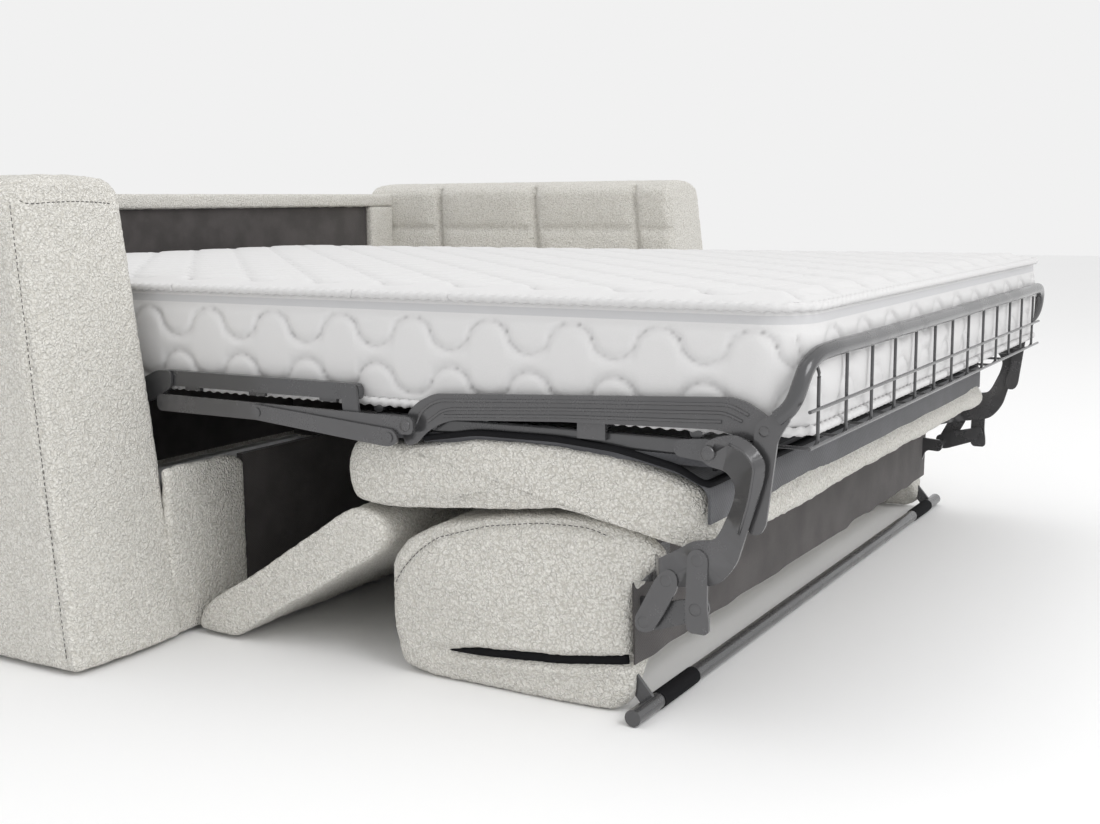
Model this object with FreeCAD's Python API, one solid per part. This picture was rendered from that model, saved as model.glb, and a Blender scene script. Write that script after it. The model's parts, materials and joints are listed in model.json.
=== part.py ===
import FreeCAD, Part
import math
import os

V = FreeCAD.Vector

# Driving dimensions in millimetres
ARM_WIDTH = 210.0
ARM_HEIGHT = 680.0
ARM_LEAN = 82.0
INNER_WIDTH = 1960.0
BAY_WIDTH = 1464.0
SOFA_DEPTH = 1120.0
BACK_THICKNESS = 70.0
BACK_HEIGHT = 675.0
LIP_HEIGHT = 35.0
LIP_REACH = 21.0
END_POST_WIDTH = 110.0
BASE_HEIGHT = 258.0
END_SEAT_HEIGHT = 390.0
END_PAD_HEIGHT = 60.0
GLIDE_HEIGHT = 6.0
MATTRESS_THICKNESS = 145.0
MATTRESS_CROWN = 9.0
MATTRESS_SIDE_GAP = 37.0
PIN_RADIUS = 5.0
PIN_CLEARANCE = 0.05
STAY_SLOT_RADIUS = 7.8
WIRE_RADIUS = 2.2
GRILLE_TUBE_RADIUS = 11.0
LEG_TUBE_RADIUS = 11.0
BEAD_RADIUS = 2.2
GRILLE_BARS = 13

# Stations along the bed, with the arm front at zero
BED_BOTTOM = 385.0
FOOT_END = -953.0
FRONT_FOLD = -465.0
FOOT_HINGE = -309.0
HEAD_HINGE = 35.0
REAR_FOLD = 185.0
BED_HEAD = 950.0
RAIL_FRONT = -966.0
HINGE_LEVEL = 394.0
JOINT_SLIT = 0.4

# Pivots of the mechanism as (y, z)
EYE = (-848.0, 356.0)
STAY_TOP = (-837.0, 225.0)
STAY_FOOT = (-835.0, 164.0)
ROCKER_TOP = (-796.0, 195.0)
ROCKER_FOOT = (-766.0, 139.0)
DRIVE_PIVOT = (-409.0, 356.0)
GRILLE_PIVOT = (-913.0, 385.0)
VALANCE_PIVOT = (-305.0, 285.0)
LIFT_REACH = 225.0
LIFT_TILT = 45.0
LIFT_ROOT_FRONT = (201.0, 206.0)
LIFT_ROOT_REAR = (641.0, 206.0)

# Sideways layers counted from the arm's inner face
RAIL_LAYER = (0.0, 2.0)
LINK_LAYER = (3.0, 7.0)
ARM_LAYER = (8.0, 13.0)
LUG_LAYER = (14.0, 18.0)
HANGER_LAYER = (19.0, 23.0)
PRESS_LAYER = (24.0, 29.0)
SIDE_RAIL_LAYER = (19.0, 31.0)
TUBE_LAYER = (36.0, 52.0)

EAR_LAYER = (80.0, 84.0)
BRACKET_LAYER = (86.0, 90.0)
SHANK_LAYER = (56.0, 62.0)
CUSHION_INSET = 38.0

# Places that follow from the dimensions
TOTAL_WIDTH = INNER_WIDTH + 2 * ARM_WIDTH
BAY_START = ARM_WIDTH
BAY_END = ARM_WIDTH + BAY_WIDTH
BAY_MID = (BAY_START + BAY_END) / 2
SEAT_END = ARM_WIDTH + INNER_WIDTH
BACK_FRONT = SOFA_DEPTH - BACK_THICKNESS
BED_LEFT = BAY_START + MATTRESS_SIDE_GAP
BED_RIGHT = BAY_END - MATTRESS_SIDE_GAP
BED_FRONT = RAIL_FRONT - GRILLE_TUBE_RADIUS
HOLE_RADIUS = PIN_RADIUS + PIN_CLEARANCE
ORIGIN_SHIFT = V(-TOTAL_WIDTH / 2, -(BED_FRONT + SOFA_DEPTH) / 2, 0)


def box(x0, x1, y0, y1, z0, z1):
    return Part.makeBox(x1 - x0, y1 - y0, z1 - z0, V(x0, y0, z0))


def rod(x0, x1, place, radius):
    return Part.makeCylinder(radius, x1 - x0, V(x0, place[0], place[1]), V(1, 0, 0))


def post(x, y, z0, z1, radius):
    return Part.makeCylinder(radius, z1 - z0, V(x, y, z0), V(0, 0, 1))


def mirrored(shape):
    return shape.mirror(V(BAY_MID, 0, 0), V(1, 0, 0))


def both(*shapes):
    return Part.makeCompound([s for shape in shapes for s in (shape, mirrored(shape))])


def group(shapes):
    return Part.makeCompound(list(shapes))


# A wire through the points whose corners are eased by arcs
def eased(points, ease, closed):
    spans = []
    count = len(points)
    eases = ease if isinstance(ease, list) else [ease] * count
    for i, here in enumerate(points):
        if not closed and i in (0, count - 1):
            spans.append((here, None, here))
            continue
        back = points[i - 1] - here
        ahead = points[(i + 1) % count] - here
        reach = min(eases[i], 0.45 * back.Length, 0.45 * ahead.Length)
        back.normalize()
        ahead.normalize()
        half = back.getAngle(ahead) / 2
        if reach < 0.2 or half > 1.53:
            spans.append((here, None, here))
            continue
        inward = back + ahead
        inward.normalize()
        depth = reach / math.cos(half) - reach * math.tan(half)
        spans.append((here + back * reach, here + inward * depth, here + ahead * reach))
    edges = []
    for i, (start, middle, end) in enumerate(spans):
        if middle is not None:
            edges.append(Part.Arc(start, middle, end).toShape())
        if closed or i < count - 1:
            following = spans[(i + 1) % count][0]
            if end.distanceToPoint(following) > 0.01:
                edges.append(Part.makeLine(end, following))
    return Part.Wire(edges)


def side_wire(points, x, ease):
    return eased([V(x, y, z) for y, z in points], ease, True)


# A plate with an outline in the side view, drilled at its pivots
def plate(points, x0, x1, ease, holes=()):
    shape = Part.Face(side_wire(points, x0, ease)).extrude(V(x1 - x0, 0, 0))
    for y, z, radius in holes:
        shape = shape.cut(rod(x0 - 1, x1 + 1, (y, z), radius))
    return shape


def layer_plate(points, layer, ease, holes=()):
    drilled = [(place[0], place[1], HOLE_RADIUS) for place in holes]
    return plate(points, BAY_START + layer[0], BAY_START + layer[1], ease, drilled)


def pin(place, offset0, offset1, radius=PIN_RADIUS):
    return rod(BAY_START + offset0, BAY_START + offset1, place, radius)


# A straight link of even width between two pivots
def link_outline(a, b, half_width):
    along = V(b[0] - a[0], b[1] - a[1], 0)
    along.normalize()
    side = V(-along.y, along.x, 0)
    corners = []
    for end, sign in ((a, -1), (b, 1)):
        for lift in (-sign, sign):
            corners.append((end[0] + along.x * sign * half_width + side.x * lift * half_width,
                            end[1] + along.y * sign * half_width + side.y * lift * half_width))
    return [corners[1], corners[0], corners[3], corners[2]]


def bent_rod(points, radius, bend):
    path = eased(points, bend, False)
    start = points[0]
    ring = Part.Wire(Part.makeCircle(radius, start, points[1] - start))
    return path.makePipeShell([ring], True, False)


# A half-round stiffening bead pressed along a plate's face
def bead(points, offset, radius=BEAD_RADIUS):
    return bent_rod([V(BAY_START + offset, y, z) for y, z in points], radius, 14)


# A stuffed roll: one side outline lofted across the sofa, drawn in at its ends
def roll(points, x0, x1, ease, soft, draw):
    mid_y = sum(p[0] for p in points) / len(points)
    mid_z = sum(p[1] for p in points) / len(points)
    wires = []
    for x, scale in ((x0, draw), (x0 + soft, 1.0), (x1 - soft, 1.0), (x1, draw)):
        shrunk = [(mid_y + (y - mid_y) * scale, mid_z + (z - mid_z) * scale) for y, z in points]
        wires.append(side_wire(shrunk, x, ease))
    return Part.makeLoft(wires, True, True)


# A crowned pad whose free sides draw in towards its top and bottom
def pad(x0, x1, y0, y1, z0, z1, crown, free, corner):
    height = z1 - z0
    levels = ((0.0, 10.0), (0.12, 0.0), (0.88, 0.0), (1.0, 10.0))
    eases = [corner if free[0] else 0] * 2 + [corner if free[1] else 0] * 2
    wires = []
    for share, inset in levels + ((1.0 + crown / height, 90.0),):
        low = y0 + (inset if free[0] else 0)
        high = y1 - (inset if free[1] else 0)
        z = z0 + share * height
        plan = [V(x0 + inset, low, z), V(x1 - inset, low, z)]
        plan += [V(x1 - inset, high, z), V(x0 + inset, high, z)]
        wires.append(eased(plan, eases, True))
    return Part.makeLoft(wires, True, True)


def eased_box(shape, radius):
    return shape.makeFillet(radius, shape.Edges)


# The fixed sofa
def arm(x0):
    side = [(0, GLIDE_HEIGHT), (SOFA_DEPTH, GLIDE_HEIGHT), (SOFA_DEPTH, ARM_HEIGHT)]
    side.append((ARM_LEAN, ARM_HEIGHT))
    body = Part.Face(side_wire(side, x0, 26)).extrude(V(ARM_WIDTH, 0, 0))
    edges = [e for e in body.Edges if abs(e.BoundBox.XLength) < 0.01 and e.BoundBox.ZMax > 40]
    return body.makeFillet(18, edges)


def back_shell():
    top = BACK_HEIGHT
    low = top - LIP_HEIGHT
    front = BACK_FRONT + 6
    lip = BACK_FRONT - LIP_REACH
    side = [(front, GLIDE_HEIGHT), (SOFA_DEPTH, GLIDE_HEIGHT), (SOFA_DEPTH, top)]
    side += [(lip, top), (lip, low), (front, low)]
    shape = Part.Face(eased([V(ARM_WIDTH, y, z) for y, z in side], [8, 8, 14, 14, 10, 0], True))
    return shape.extrude(V(INNER_WIDTH, 0, 0))


def back_lining():
    return box(ARM_WIDTH, SEAT_END - END_POST_WIDTH, BACK_FRONT, BACK_FRONT + 6,
               GLIDE_HEIGHT + 14, BACK_HEIGHT - LIP_HEIGHT)


def back_end_post():
    body = box(SEAT_END - END_POST_WIDTH, SEAT_END, BACK_FRONT - LIP_REACH, BACK_FRONT + 6,
               GLIDE_HEIGHT, BACK_HEIGHT - LIP_HEIGHT)
    return body.makeFillet(8, [e for e in body.Edges if e.BoundBox.YMax < BACK_FRONT])


def base_end_block():
    body = box(BAY_START, BAY_START + 155, 12, 28, GLIDE_HEIGHT, BASE_HEIGHT + 4)
    return body.makeFillet(5, [e for e in body.Edges if e.BoundBox.YMax < 13])


def base_front_panel():
    return box(BAY_START + 155, BAY_END, 16, 28, GLIDE_HEIGHT, BASE_HEIGHT)


def end_seat_box():
    body = box(BAY_END, SEAT_END, 14, BACK_FRONT - LIP_REACH - 2, GLIDE_HEIGHT, END_SEAT_HEIGHT)
    return eased_box(body, 6)


def end_seat_pad():
    return pad(BAY_END + 4, SEAT_END - 2, 16, BACK_FRONT - LIP_REACH - 4, END_SEAT_HEIGHT,
               END_SEAT_HEIGHT + END_PAD_HEIGHT, 8, (True, True), 40)


def floor_glides():
    spots = []
    for x in (50, ARM_WIDTH - 50, TOTAL_WIDTH - ARM_WIDTH + 50, TOTAL_WIDTH - 50):
        spots += [(x, 60), (x, SOFA_DEPTH - 60)]
    spots += [(BAY_END + 60, 70), (BAY_MID, SOFA_DEPTH - 30)]
    return group(post(x, y, 0, GLIDE_HEIGHT, 20) for x, y in spots)


def mount_rails():
    bolts = ((160, 206), (400, 206), (740, 206))
    outline = [(145, 190), (755, 190), (755, 222), (145, 222)]
    rail = layer_plate(outline, RAIL_LAYER, 12)
    for place in (LIFT_ROOT_FRONT, LIFT_ROOT_REAR):
        rail = rail.fuse(pin(place, RAIL_LAYER[1], LINK_LAYER[1] + 0.6))
    for place in bolts:
        rail = rail.fuse(pin(place, RAIL_LAYER[1], RAIL_LAYER[1] + 0.7, 7))
    return both(rail)


# Links that lift and lower the head section
def lift_top(root):
    tilt = math.radians(LIFT_TILT)
    return (root[0] + LIFT_REACH * math.cos(tilt), root[1] + LIFT_REACH * math.sin(tilt))


def lift_links(root):
    top = lift_top(root)
    return both(layer_plate(link_outline(root, top, 13), LINK_LAYER, 9, (root, top)))


# Head section of the bed frame
def head_frame():
    low = BED_BOTTOM - 30
    high = BED_BOTTOM - 2
    left = BAY_START + TUBE_LAYER[0]
    right = BAY_START + TUBE_LAYER[1]
    tube = box(left, right, HEAD_HINGE + 30, BED_HEAD - 10, low, high)
    tube = tube.makeFillet(4, [e for e in tube.Edges if e.BoundBox.YLength > 100])
    lug = [(HEAD_HINGE - 14, HINGE_LEVEL + 12), (HEAD_HINGE + 14, HINGE_LEVEL + 12)]
    lug += [(HEAD_HINGE + 75, high - 4), (HEAD_HINGE + 75, low + 2), (HEAD_HINGE + 30, low + 2)]
    lug += [(HEAD_HINGE - 14, HINGE_LEVEL - 13)]
    hinge = layer_plate(lug, LUG_LAYER, 9)
    hinge = hinge.fuse(pin((HEAD_HINGE, HINGE_LEVEL), LUG_LAYER[1], SIDE_RAIL_LAYER[1] + 0.5))
    hinge = hinge.fuse(pin((HEAD_HINGE + 55, BED_BOTTOM - 16), LUG_LAYER[1], TUBE_LAYER[0], 8))
    side = hinge.fuse(tube)
    for root in (LIFT_ROOT_FRONT, LIFT_ROOT_REAR):
        side = side.fuse(pin(lift_top(root), LINK_LAYER[0] - 0.4, LINK_LAYER[1]))
        side = side.fuse(pin(lift_top(root), LINK_LAYER[1], TUBE_LAYER[0], 7))
    return both(side)


def head_cross_tubes():
    level = BED_BOTTOM - 16
    left = BAY_START + TUBE_LAYER[1]
    return group(rod(left, 2 * BAY_MID - left, (y, level), 9) for y in (110, 380, 650, BED_HEAD - 25))


def net(y0, y1, across, along):
    left = BAY_START + TUBE_LAYER[0] + 6
    right = 2 * BAY_MID - left
    z0 = BED_BOTTOM - 2
    sheet = box(left, right, y0, y1, z0, z0 + 1.6)
    step_x = (right - left) / across
    step_y = (y1 - y0) / along
    holes = []
    for i in range(across):
        for j in range(along):
            x = left + step_x * i
            y = y0 + step_y * j
            holes.append(box(x + 8, x + step_x - 8, y + 8, y + step_y - 8, z0 - 1, z0 + 3))
    return sheet.cut(Part.makeCompound(holes))


def mattress(y0, y1, free, corner):
    return pad(BED_LEFT, BED_RIGHT, y0 + JOINT_SLIT / 2, y1 - JOINT_SLIT / 2, BED_BOTTOM,
               BED_BOTTOM + MATTRESS_THICKNESS, MATTRESS_CROWN, free, corner)


# Middle section of the bed frame
def mid_rails():
    low = BED_BOTTOM - 2
    high = low + 23
    outline = [(HEAD_HINGE + 12, low), (HEAD_HINGE + 12, high)]
    outline += [(FOOT_HINGE - 16, high), (FOOT_HINGE - 16, low)]
    ends = ((HEAD_HINGE, HINGE_LEVEL), (FOOT_HINGE, HINGE_LEVEL))
    return both(layer_plate(outline, SIDE_RAIL_LAYER, 9, ends))


def mid_straps():
    left = BAY_START + SIDE_RAIL_LAYER[1] - 5
    right = 2 * BAY_MID - left
    z1 = BED_BOTTOM - 2
    return group(box(left, right, y - 15, y + 15, z1 - 6, z1) for y in (-10, -135, -265))


# Foot section of the bed frame
def foot_side_tubes():
    left = BAY_START + TUBE_LAYER[0]
    right = BAY_START + TUBE_LAYER[1]
    tube = box(left, right, -832, -300, 345, 366)
    tube = tube.makeFillet(4, [e for e in tube.Edges if e.BoundBox.YLength > 100])
    lug = [(FOOT_HINGE + 13, HINGE_LEVEL + 13), (FOOT_HINGE - 14, HINGE_LEVEL + 13)]
    lug += [(FOOT_HINGE - 22, 346), (FOOT_HINGE + 6, 346)]
    hinge = layer_plate(lug, LUG_LAYER, 9)
    hinge = hinge.fuse(pin((FOOT_HINGE, HINGE_LEVEL), LUG_LAYER[1], SIDE_RAIL_LAYER[1] + 0.5))
    hinge = hinge.fuse(pin((FOOT_HINGE - 12, 356), LUG_LAYER[1], TUBE_LAYER[0], 8))
    y, z = EYE
    tip = [(y + 52, z - 10), (y + 52, z + 10), (y + 4, z + 14), (y - 14, z + 6)]
    tip += [(y - 14, z - 8), (y + 2, z - 15)]
    tip_plate = layer_plate(tip, PRESS_LAYER, 9)
    tip_plate = tip_plate.fuse(pin((y + 40, z), PRESS_LAYER[1], TUBE_LAYER[0], 8))
    tip_plate = tip_plate.fuse(pin(EYE, ARM_LAYER[0] - 0.4, PRESS_LAYER[0]))
    tip_plate = tip_plate.fuse(pin(EYE, ARM_LAYER[1] + 0.4, PRESS_LAYER[0], 9))
    tip_plate = tip_plate.fuse(pin(EYE, ARM_LAYER[0] - 2.6, ARM_LAYER[0] - 0.3, 9))
    return both(hinge.fuse(tube).fuse(tip_plate))


def foot_cross_tubes():
    left = BAY_START + TUBE_LAYER[0]
    right = 2 * BAY_MID - left
    stretchers = [rod(left, right, (y, 374.5), 8.5) for y in (-345, -520, -690, -820)]
    return group(stretchers)


def pressed_arm():
    outline = [(-396, 326), (-394, 348), (-404, 373), (-421, 388), (-447, 400), (-642, 410)]
    outline += [(-871, 422), (-890, 417), (-915, 402), (-926, 390), (-922, 374), (-900, 371)]
    outline += [(-878, 376), (-854, 382), (-642, 376), (-475, 366), (-456, 360), (-435, 348)]
    outline += [(-416, 329)]
    body = layer_plate(outline, PRESS_LAYER, 9)
    beads = [[(-414, 352), (-424, 374), (-450, 391), (-642, 402), (-868, 413), (-892, 402)]]
    beads.append([(-436, 362), (-462, 380), (-642, 392), (-862, 403), (-884, 394)])
    beads.append([(-462, 371), (-642, 383), (-858, 392)])
    for points in beads:
        body = body.fuse(bead(points, PRESS_LAYER[0]))
    body = body.fuse(pin(DRIVE_PIVOT, ARM_LAYER[0] - 0.4, PRESS_LAYER[0]))
    body = body.fuse(pin(DRIVE_PIVOT, ARM_LAYER[1] + 0.4, PRESS_LAYER[0], 9))
    body = body.fuse(pin(GRILLE_PIVOT, HANGER_LAYER[0] - 0.4, PRESS_LAYER[0]))
    body = body.fuse(pin((-440, 358), PRESS_LAYER[1], TUBE_LAYER[0], 8))
    web_out = BAY_START + PRESS_LAYER[1]
    web_in = BAY_START + TUBE_LAYER[0]
    return body.fuse(box(web_out, web_in, -700, -660, 356, 386))


SEAT_SIDE = [(-291, 240), (-279, 278), (-287, 315), (-317, 331), (-629, 333), (-743, 324)]
SEAT_SIDE += [(-831, 303), (-834, 258), (-771, 245), (-628, 264), (-441, 240), (-350, 234)]


def seat_board():
    left = BAY_START + TUBE_LAYER[0]
    return box(left, 2 * BAY_MID - left, -842, -330, 333, 345)


def seat_edging():
    left = BAY_START + TUBE_LAYER[0]
    front = box(left, 2 * BAY_MID - left, -847, -842, 329, 347)
    return front


def seat_cushion():
    left = BAY_START + CUSHION_INSET
    body = roll(SEAT_SIDE, left, 2 * BAY_MID - left, 26, 30, 0.9)
    body = body.cut(box(left, 2 * BAY_MID - left, -900, -250, 333, 400))
    slot = pin(VALANCE_PIVOT, EAR_LAYER[0] - 2, BRACKET_LAYER[1] + 2, 96)
    return body.cut(both(slot))


def valance_brackets():
    y, z = VALANCE_PIVOT
    outline = [(y - 10, z - 12), (y + 10, z - 12), (y + 12, 333), (y - 45, 333)]
    leaf = layer_plate(outline, BRACKET_LAYER, 6)
    leaf = leaf.fuse(layer_plate([(y - 45, 321), (y - 25, 321), (y - 25, 333), (y - 45, 333)],
                                 BRACKET_LAYER, 0))
    return both(leaf.fuse(pin(VALANCE_PIVOT, EAR_LAYER[0] - 0.4, BRACKET_LAYER[0])))


# Bars that steer the foot section
def drive_bars():
    outline = [(-422, 344), (-422, 368), (46, 371), (46, 346)]
    return both(layer_plate(outline, ARM_LAYER, 9, (DRIVE_PIVOT,)))


def drive_stays():
    outline = [(-143, 369), (-143, 347), (-385, 326), (-402, 334), (-394, 350), (-369, 352)]
    body = layer_plate(outline, LINK_LAYER, 8)
    for place in ((-154, 357), (-385, 339)):
        body = body.fuse(pin(place, LINK_LAYER[0] - 1.6, LINK_LAYER[0], 7))
    return both(body.fuse(pin((-154, 357), LINK_LAYER[1], ARM_LAYER[0], 6)))


# The back that swings under the bed
def swing_arm():
    outline = [(-848, 372), (-866, 378), (-884, 380), (-905, 369), (-918, 352), (-918, 334)]
    outline += [(-910, 304), (-898, 267), (-887, 229), (-877, 213), (-863, 198), (-843, 192)]
    outline += [(-812, 188), (-780, 182), (-732, 176), (-732, 212), (-780, 218), (-812, 236)]
    outline += [(-828, 247), (-856, 251), (-864, 262), (-879, 295), (-884, 317), (-872, 336)]
    outline += [(-848, 340), (-832, 352)]
    body = layer_plate(outline, ARM_LAYER, 9, (EYE,))
    x0 = BAY_START + ARM_LAYER[0]
    body = body.fuse(box(x0, BAY_START + 110, -735.6, -732, 177, 210))
    body = body.fuse(bead([(-874, 369), (-894, 361), (-906, 345), (-900, 304), (-888, 262)],
                          ARM_LAYER[0], 1.8))
    for place in (STAY_TOP, ROCKER_TOP):
        body = body.fuse(pin(place, LINK_LAYER[0] - 0.4, ARM_LAYER[0]))
    return body


BACK_SIDE = [(-359, 115), (-358, 158), (-382, 189), (-441, 222), (-537, 240), (-628, 250)]
BACK_SIDE += [(-690, 246), (-726, 224), (-736, 189), (-736, 60), (-730, 16), (-701, 6)]
BACK_SIDE += [(-626, 4), (-501, 4), (-419, 5), (-376, 14), (-358, 71)]


# Room in the back for the leg's side bars
def leg_notches():
    left = BAY_START + SHANK_LAYER[0] - 4
    return both(box(left, BAY_START + SHANK_LAYER[1] + 4, -760, -690, 0, 170))


def back_board():
    left = BAY_START + CUSHION_INSET
    board = plate([(-732, 24), (-728, 24), (-728, 216), (-732, 216)], left,
                  2 * BAY_MID - left, 1)
    return board.cut(leg_notches())


def back_cushion():
    left = BAY_START + CUSHION_INSET
    body = roll(BACK_SIDE, left, 2 * BAY_MID - left, 26, 30, 0.92)
    body = body.cut(box(left - 1, 2 * BAY_MID - left + 1, -760, -728, 0, 300))
    return body.cut(leg_notches())


VALANCE_SIDE = [(-303, 231), (-289, 226), (-125, 119), (2, 40), (8, 20), (-4, 3), (-66, 5)]
VALANCE_SIDE += [(-236, 103), (-340, 165), (-360, 194), (-345, 222)]


def valance():
    left = BAY_START + CUSHION_INSET
    return roll(VALANCE_SIDE, left, 2 * BAY_MID - left, 14, 1, 0.995).cut(valance_ears())


def valance_ears():
    y, z = VALANCE_PIVOT
    outline = [(y - 11, z + 11), (y + 11, z + 11), (y + 14, 214), (y - 30, 196)]
    return both(layer_plate(outline, EAR_LAYER, 8, (VALANCE_PIVOT,)))


# The folding support leg
def leg_rockers():
    outline = [(-798, 211), (-783, 198), (-753, 141), (-757, 126), (-776, 126), (-790, 147)]
    outline += [(-812, 188), (-810, 205)]
    return both(layer_plate(outline, LINK_LAYER, 9, (ROCKER_TOP, ROCKER_FOOT)))


def leg_stays():
    outline = [(-837, 241), (-824, 232), (-822, 160), (-824, 134), (-853, 134), (-853, 150)]
    outline += [(-850, 170), (-851, 232)]
    stay = layer_plate(outline, LINK_LAYER, 8, (STAY_TOP,))
    slot = pin(STAY_FOOT, LINK_LAYER[0] - 1, LINK_LAYER[1] + 1, STAY_SLOT_RADIUS)
    return both(stay.cut(slot))


def leg_bars():
    strap = [(-752, 152), (-782, 163), (-845, 178), (-850, 160), (-840, 149), (-775, 126)]
    strap += [(-756, 126)]
    body = layer_plate(strap, LUG_LAYER, 8)
    body = body.fuse(pin(STAY_FOOT, LINK_LAYER[0] - 0.4, LUG_LAYER[0]))
    body = body.fuse(pin(ROCKER_FOOT, LINK_LAYER[0] - 0.4, LUG_LAYER[0]))
    body = body.fuse(pin(ROCKER_FOOT, LUG_LAYER[1], SHANK_LAYER[0], 7))
    shank = [(-778, 150), (-728, 154), (-706, 84), (-703, 52), (-741, 6), (-763, 12)]
    shank += [(-725, 56), (-728, 84), (-744, 128), (-776, 126)]
    return both(body.fuse(layer_plate(shank, SHANK_LAYER, 9)))


def leg_tube():
    left = BAY_START + 2
    level = LEG_TUBE_RADIUS + 1
    tube = rod(left, 2 * BAY_MID - left, (-752, level), LEG_TUBE_RADIUS)
    return tube.cut(leg_bars())


def leg_sleeves():
    level = (-752, LEG_TUBE_RADIUS + 1)
    left = BAY_START + 75
    sleeve = rod(left, left + 110, level, LEG_TUBE_RADIUS + 1)
    return both(sleeve.cut(rod(left - 1, left + 111, level, LEG_TUBE_RADIUS)))


# The rail at the foot of the bed
def grille_tube():
    x = BAY_START + 21
    half = [V(x, -938, 405), V(x + 2, -947, 420), V(x + 22, -961, 447)]
    half += [V(x + 60, RAIL_FRONT, 472), V(x + 105, RAIL_FRONT, 476)]
    far = [V(2 * BAY_MID - p.x, p.y, p.z) for p in reversed(half)]
    return bent_rod(half + far, GRILLE_TUBE_RADIUS, 26).cut(grille_hangers())


def grille_wires():
    left = BAY_START + 63
    pitch = (BAY_WIDTH - 2 * 63 - 84) / (GRILLE_BARS - 1)
    back = RAIL_FRONT + 3
    wires = []
    for i in range(GRILLE_BARS):
        x = left + pitch * i
        top = 462 if i in (0, GRILLE_BARS - 1) else 466
        run = [V(x, back, top), V(x, back, 361), V(x, -900, 361)]
        wires.append(bent_rod(run, WIRE_RADIUS, 12))
    end = left + pitch * (GRILLE_BARS - 1)
    front = back - 2 * WIRE_RADIUS
    wires.append(rod(left - 42, end + 42, (front, 411), WIRE_RADIUS))
    wires.append(rod(left - 42, end + 42, (front, 368), WIRE_RADIUS))
    tube = grille_tube()
    return group(wire.cut(tube) for wire in wires)


def grille_hangers():
    outline = [(-902, 392), (-914, 402), (-938, 413), (-946, 402), (-930, 376), (-923, 320)]
    outline += [(-917, 272), (-910, 261), (-896, 261), (-893, 276), (-901, 305), (-905, 345)]
    outline += [(-900, 372)]
    return both(layer_plate(outline, HANGER_LAYER, 7, (GRILLE_PIVOT,)))


NODES = {
    "near_arm": lambda: arm(0),
    "far_arm": lambda: arm(SEAT_END),
    "back_shell": back_shell,
    "back_lining": back_lining,
    "back_end_post": back_end_post,
    "base_end_block": base_end_block,
    "base_front_panel": base_front_panel,
    "end_seat_box": end_seat_box,
    "end_seat_pad": end_seat_pad,
    "floor_glides": floor_glides,
    "mount_rails": mount_rails,
    "lift_front_links": lambda: lift_links(LIFT_ROOT_FRONT),
    "lift_rear_links": lambda: lift_links(LIFT_ROOT_REAR),
    "head_frame": head_frame,
    "head_cross_tubes": head_cross_tubes,
    "head_mesh": lambda: net(95, BED_HEAD - 12, 12, 9),
    "head_mattress": lambda: mattress(REAR_FOLD, BED_HEAD, (False, True), 30),
    "mattress_fold_rear": lambda: mattress(HEAD_HINGE - 5, REAR_FOLD, (False, False), 0),
    "mid_rails": mid_rails,
    "mid_straps": mid_straps,
    "mid_mesh": lambda: net(-280, 5, 12, 3),
    "mid_mattress": lambda: mattress(FOOT_HINGE + 4, HEAD_HINGE - 5, (False, False), 0),
    "foot_side_tubes": foot_side_tubes,
    "foot_cross_tubes": foot_cross_tubes,
    "near_pressed_arm": pressed_arm,
    "far_pressed_arm": lambda: mirrored(pressed_arm()),
    "foot_mesh": lambda: net(-830, -337, 12, 5),
    "foot_mattress": lambda: mattress(FOOT_END, FRONT_FOLD, (True, False), 60),
    "mattress_fold_front": lambda: mattress(FRONT_FOLD, FOOT_HINGE + 4, (False, False), 0),
    "seat_board": seat_board,
    "seat_edging": seat_edging,
    "seat_cushion": seat_cushion,
    "valance_brackets": valance_brackets,
    "drive_bars": drive_bars,
    "drive_stays": drive_stays,
    "near_swing_arm": swing_arm,
    "far_swing_arm": lambda: mirrored(swing_arm()),
    "back_board": back_board,
    "back_cushion": back_cushion,
    "valance": valance,
    "valance_ears": valance_ears,
    "leg_rockers": leg_rockers,
    "leg_stays": leg_stays,
    "leg_bars": leg_bars,
    "leg_tube": leg_tube,
    "leg_sleeves": leg_sleeves,
    "grille_tube": grille_tube,
    "grille_wires": grille_wires,
    "grille_hangers": grille_hangers,
}


def main():
    os.makedirs("parts", exist_ok=True)
    for name, make in NODES.items():
        shape = make()
        shape.translate(ORIGIN_SHIFT)
        shape.exportStep("parts/" + name + ".step")


main()
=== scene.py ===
import json
import math
import bmesh
import bpy
import numpy as np
from mathutils import Matrix, Vector


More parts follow.
